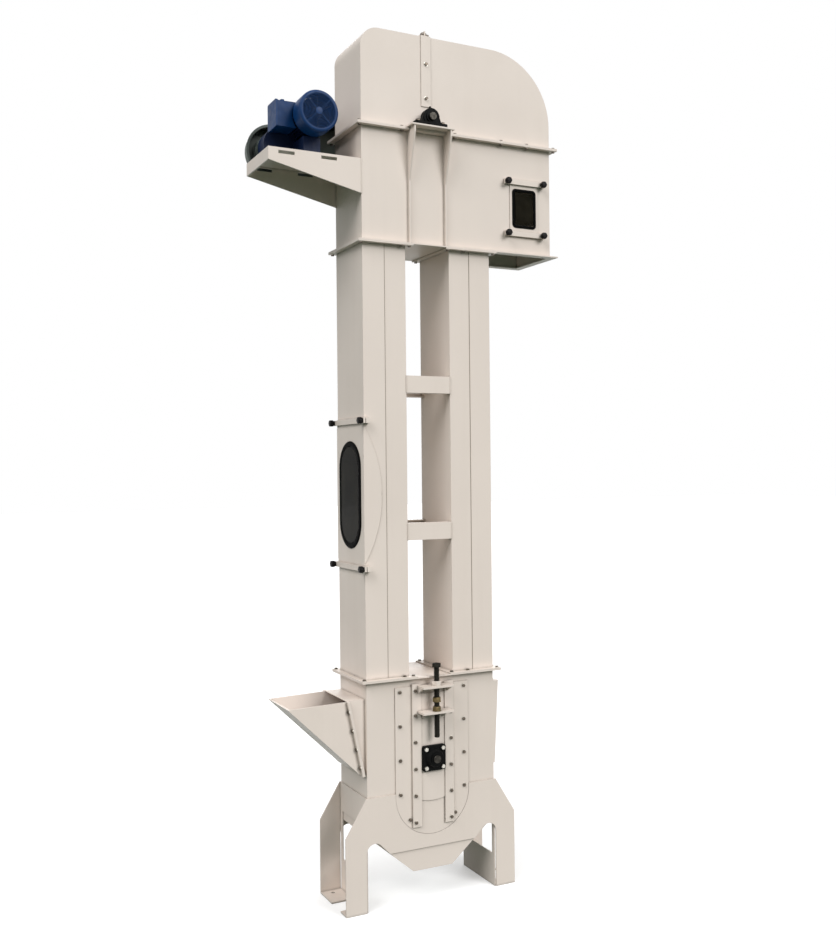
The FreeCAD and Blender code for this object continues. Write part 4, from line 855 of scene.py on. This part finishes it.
def make_bearing_bolts(finishes):
    """Plated heads over the bolts of the bearings, and the bolts of the hood's seam."""
    builder = bmesh.new()
    low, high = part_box("boot_bearings")
    boot_z = (low.z + high.z) / 2
    half = bearing_bolt_pitch / 2
    for side in (-1, 1):
        for x in (-half, half):
            for up in (-half, half):
                seat = Vector((x, side * bearing_bolt_seat, boot_z + up))
                place = facing(seat, Vector((0, side, 0)))
                hex_head(builder, place, bearing_head_flats, bearing_head_height)
    finish_piece("boot_bearing_bolts", builder, finishes["zinc_steel"], "takeup")

    builder = bmesh.new()
    for side in (-1, 1):
        for x in (-pillow_bolt_pitch / 2, pillow_bolt_pitch / 2):
            place = Matrix.Translation((x, side * pillow_y, pillow_bolt_seat))
            washer(builder, place, pillow_washer_radius, pillow_washer_sheet)
            hex_head(builder, place, pillow_nut_flats, full_nut_height)
    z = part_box("hood_feed_half")[1].z - seam_bolt_drop
    for y in seam_bolt_y:
        head = facing(Vector((-seam_half_sheet, y, z)), Vector((-1, 0, 0)))
        hex_head(builder, head, seam_bolt_flats, bearing_head_height)
        nut = facing(Vector((seam_half_sheet, y, z)), Vector((1, 0, 0)))
        hex_head(builder, nut, seam_bolt_flats, full_nut_height)
        pipe(builder, [(seam_bolt_start, y, z), (seam_bolt_end, y, z)], seam_bolt_radius, 12)
    finish_piece("head_bolts", builder, finishes["bolt_oxide"], "frame")


def make_cowl(finishes):
    """The fan cowl: a dished cup whose face is a grille of fine rings on four spokes."""
    low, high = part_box("fan_cowl")
    radius = (high.x - low.x) / 2
    depth = high.y - low.y
    back = depth - cowl_sheet
    inside = radius - cowl_sheet
    seat = Vector(((low.x + high.x) / 2, high.y, (low.z + high.z) / 2))
    place = facing(seat, Vector((0, -1, 0)))
    builder = bmesh.new()

    # The cup, with a rounded nose
    arc_radius = radius - cowl_nose
    arc_depth = depth - cowl_nose
    face = arc_radius - cowl_brim
    section = [(radius, 0.0), (radius, arc_depth)]
    for i in range(1, cowl_nose_steps + 1):
        angle = math.pi / 2 * i / cowl_nose_steps
        section.append((arc_radius + cowl_nose * math.cos(angle),
                        arc_depth + cowl_nose * math.sin(angle)))
    section += [(face, depth), (face - brim_draft, back),
                (arc_radius, back), (inside, arc_depth), (inside, 0.0)]
    turned(builder, place, section)

    # The shield that closes the gap between the cup and the motor
    body_low, body_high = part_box("motor_body")
    shield = min(radius - shield_width, (body_high.x - body_low.x) / 2 - shield_lap)
    near, far = shield_levels
    turned(builder, place, [(inside - shield_gap, near), (inside - shield_gap, far),
                            (shield, far), (shield, near)])

    # The grille: rings, a hub and four spokes behind them
    crown = depth - grille_crown
    reach = face - grille_margin
    while reach > grille_smallest:
        inner = reach - grille_wire
        turned(builder, place, [(reach, back), (reach, crown), (reach - grille_wire / 2, depth),
                                (inner, crown), (inner, back)], 48)
        reach = inner - grille_gap
    loft(builder, [ring_points(hub_radius, back, 32), ring_points(hub_radius, crown, 32),
                   ring_points(hub_crown_radius, depth, 32)], place)
    corners = ((spoke_start, -spoke_half), (face, -spoke_half),
               (face, spoke_half), (spoke_start, spoke_half))
    for angle_deg in (45, 135, 225, 315):
        spoke = Matrix.Rotation(math.radians(angle_deg), 4, "Z")
        rings = [[spoke @ Vector((x, y, z)) for x, y in corners]
                 for z in (back - spoke_back, depth - spoke_front)]
        loft(builder, rings, place)
    piece = finish_piece("cowl_grille", builder, finishes["motor_blue"], "frame", 40)
    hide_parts("fan_cowl")


# Stage, lamps and camera

def direct_look(tree):
    """1 for camera, glossy and transmission rays, and 0 for the rest."""
    rays = tree.nodes.new("ShaderNodeLightPath")
    look = rays.outputs["Is Camera Ray"]
    for kind in ("Is Glossy Ray", "Is Transmission Ray"):
        node = tree.nodes.new("ShaderNodeMath")
        node.operation = "MAXIMUM"
        tree.links.new(look, node.inputs[0])
        tree.links.new(rays.outputs[kind], node.inputs[1])
        look = node.outputs[0]
    return look


def choose_by_look(tree, other, seen, output):
    """One shader for a direct look, and another for all light that bounces."""
    pick = tree.nodes.new("ShaderNodeMixShader")
    tree.links.new(direct_look(tree), pick.inputs[0])
    tree.links.new(other.outputs[0], pick.inputs[1])
    tree.links.new(seen.outputs[0], pick.inputs[2])
    tree.links.new(pick.outputs[0], output.inputs["Surface"])


def stage_material():
    """White to a direct look, with the object's shadow, and a dark green bounce for the rest."""
    material = bpy.data.materials.new("stage_floor")
    material.use_nodes = True
    tree = material.node_tree
    tree.nodes.clear()
    output = tree.nodes.new("ShaderNodeOutputMaterial")
    grey = tree.nodes.new("ShaderNodeBsdfDiffuse")
    grey.inputs["Color"].default_value = (floor_grey, floor_grey, floor_grey, 1)
    glow = tree.nodes.new("ShaderNodeEmission")
    glow.inputs["Strength"].default_value = floor_glow
    seen = tree.nodes.new("ShaderNodeAddShader")
    tree.links.new(grey.outputs[0], seen.inputs[0])
    tree.links.new(glow.outputs[0], seen.inputs[1])
    other = tree.nodes.new("ShaderNodeBsdfDiffuse")
    other.inputs["Color"].default_value = floor_bounce + (1,)
    choose_by_look(tree, other, seen, output)
    return material


def make_floor():
    """The ground under the feet, which shows only the object's shadow."""
    builder = bmesh.new()
    corners = [builder.verts.new((x * floor_reach, y * floor_reach, floor_level))
               for x, y in ((-1, -1), (1, -1), (1, 1), (-1, 1))]
    builder.faces.new(corners)
    mesh = bpy.data.meshes.new("floor")
    builder.to_mesh(mesh)
    builder.free()
    mesh.materials.append(stage_material())
    floor = bpy.data.objects.new("floor", mesh)
    bpy.context.scene.collection.objects.link(floor)


def make_world():
    """White to a direct look, and an even, dimmer dome for the light."""
    world = bpy.data.worlds.new("studio")
    bpy.context.scene.world = world
    world.use_nodes = True
    tree = world.node_tree
    tree.nodes.clear()
    output = tree.nodes.new("ShaderNodeOutputWorld")
    skies = []
    for strength in (dome_strength, 1.0):
        sky = tree.nodes.new("ShaderNodeBackground")
        sky.inputs["Color"].default_value = (1, 1, 1, 1)
        sky.inputs["Strength"].default_value = strength
        skies.append(sky)
    choose_by_look(tree, skies[0], skies[1], output)


def make_sun(name, toward, strength, width_deg):
    """A wide, soft sun that shines from one way."""
    lamp = bpy.data.lights.new(name, "SUN")
    lamp.energy = strength
    lamp.angle = math.radians(width_deg)
    holder = bpy.data.objects.new(name, lamp)
    holder.rotation_euler = Vector(toward).to_track_quat("Z", "Y").to_euler()
    bpy.context.scene.collection.objects.link(holder)


def make_camera():
    """The photograph's viewpoint, almost level and slightly rolled."""
    data = bpy.data.cameras.new("camera")
    data.sensor_fit = "VERTICAL"
    data.sensor_height = sensor_height_mm
    data.lens = focal_px * sensor_height_mm / photo_height_px
    data.clip_end = view_depth
    forward = Vector((math.sin(camera_azimuth), math.cos(camera_azimuth), camera_rise)).normalized()
    level = Vector((math.cos(camera_azimuth), -math.sin(camera_azimuth), 0.0))
    above = level.cross(forward)
    right = math.cos(camera_roll) * level + math.sin(camera_roll) * above
    up = right.cross(forward)
    turn = Matrix((right, up, -forward)).transposed().to_4x4()
    camera = bpy.data.objects.new("camera", data)
    camera.matrix_world = Matrix.Translation(camera_place) @ turn
    bpy.context.scene.collection.objects.link(camera)
    bpy.context.scene.camera = camera


def main():
    """Dress the CAD nodes, add the scene's own pieces, and set the stage."""
    make_camera()
    finishes = make_materials()
    dress_nodes(finishes)
    make_bolts(finishes)
    make_screw("takeup_screw_front", "screw_front", finishes)
    make_screw("takeup_screw_rear", "screw_rear", finishes)
    make_welds(finishes)
    make_leg_seams(finishes)
    make_door_hem(finishes)
    make_seals(finishes)
    make_cowl(finishes)
    make_bearing_bolts(finishes)
    for level in ("low", "top"):
        for place in ("front", "rear"):
            make_knob("leg", level + "_" + place, Vector((-1, 0, 0)), finishes)
        for place in ("left", "right"):
            make_knob("hatch", level + "_" + place, Vector((0, -1, 0)), finishes)
    make_floor()
    make_world()
    for name, toward, strength, width_deg in suns:
        make_sun(name, toward, strength, width_deg)
    bpy.context.scene.view_settings.view_transform = "Standard"


main()
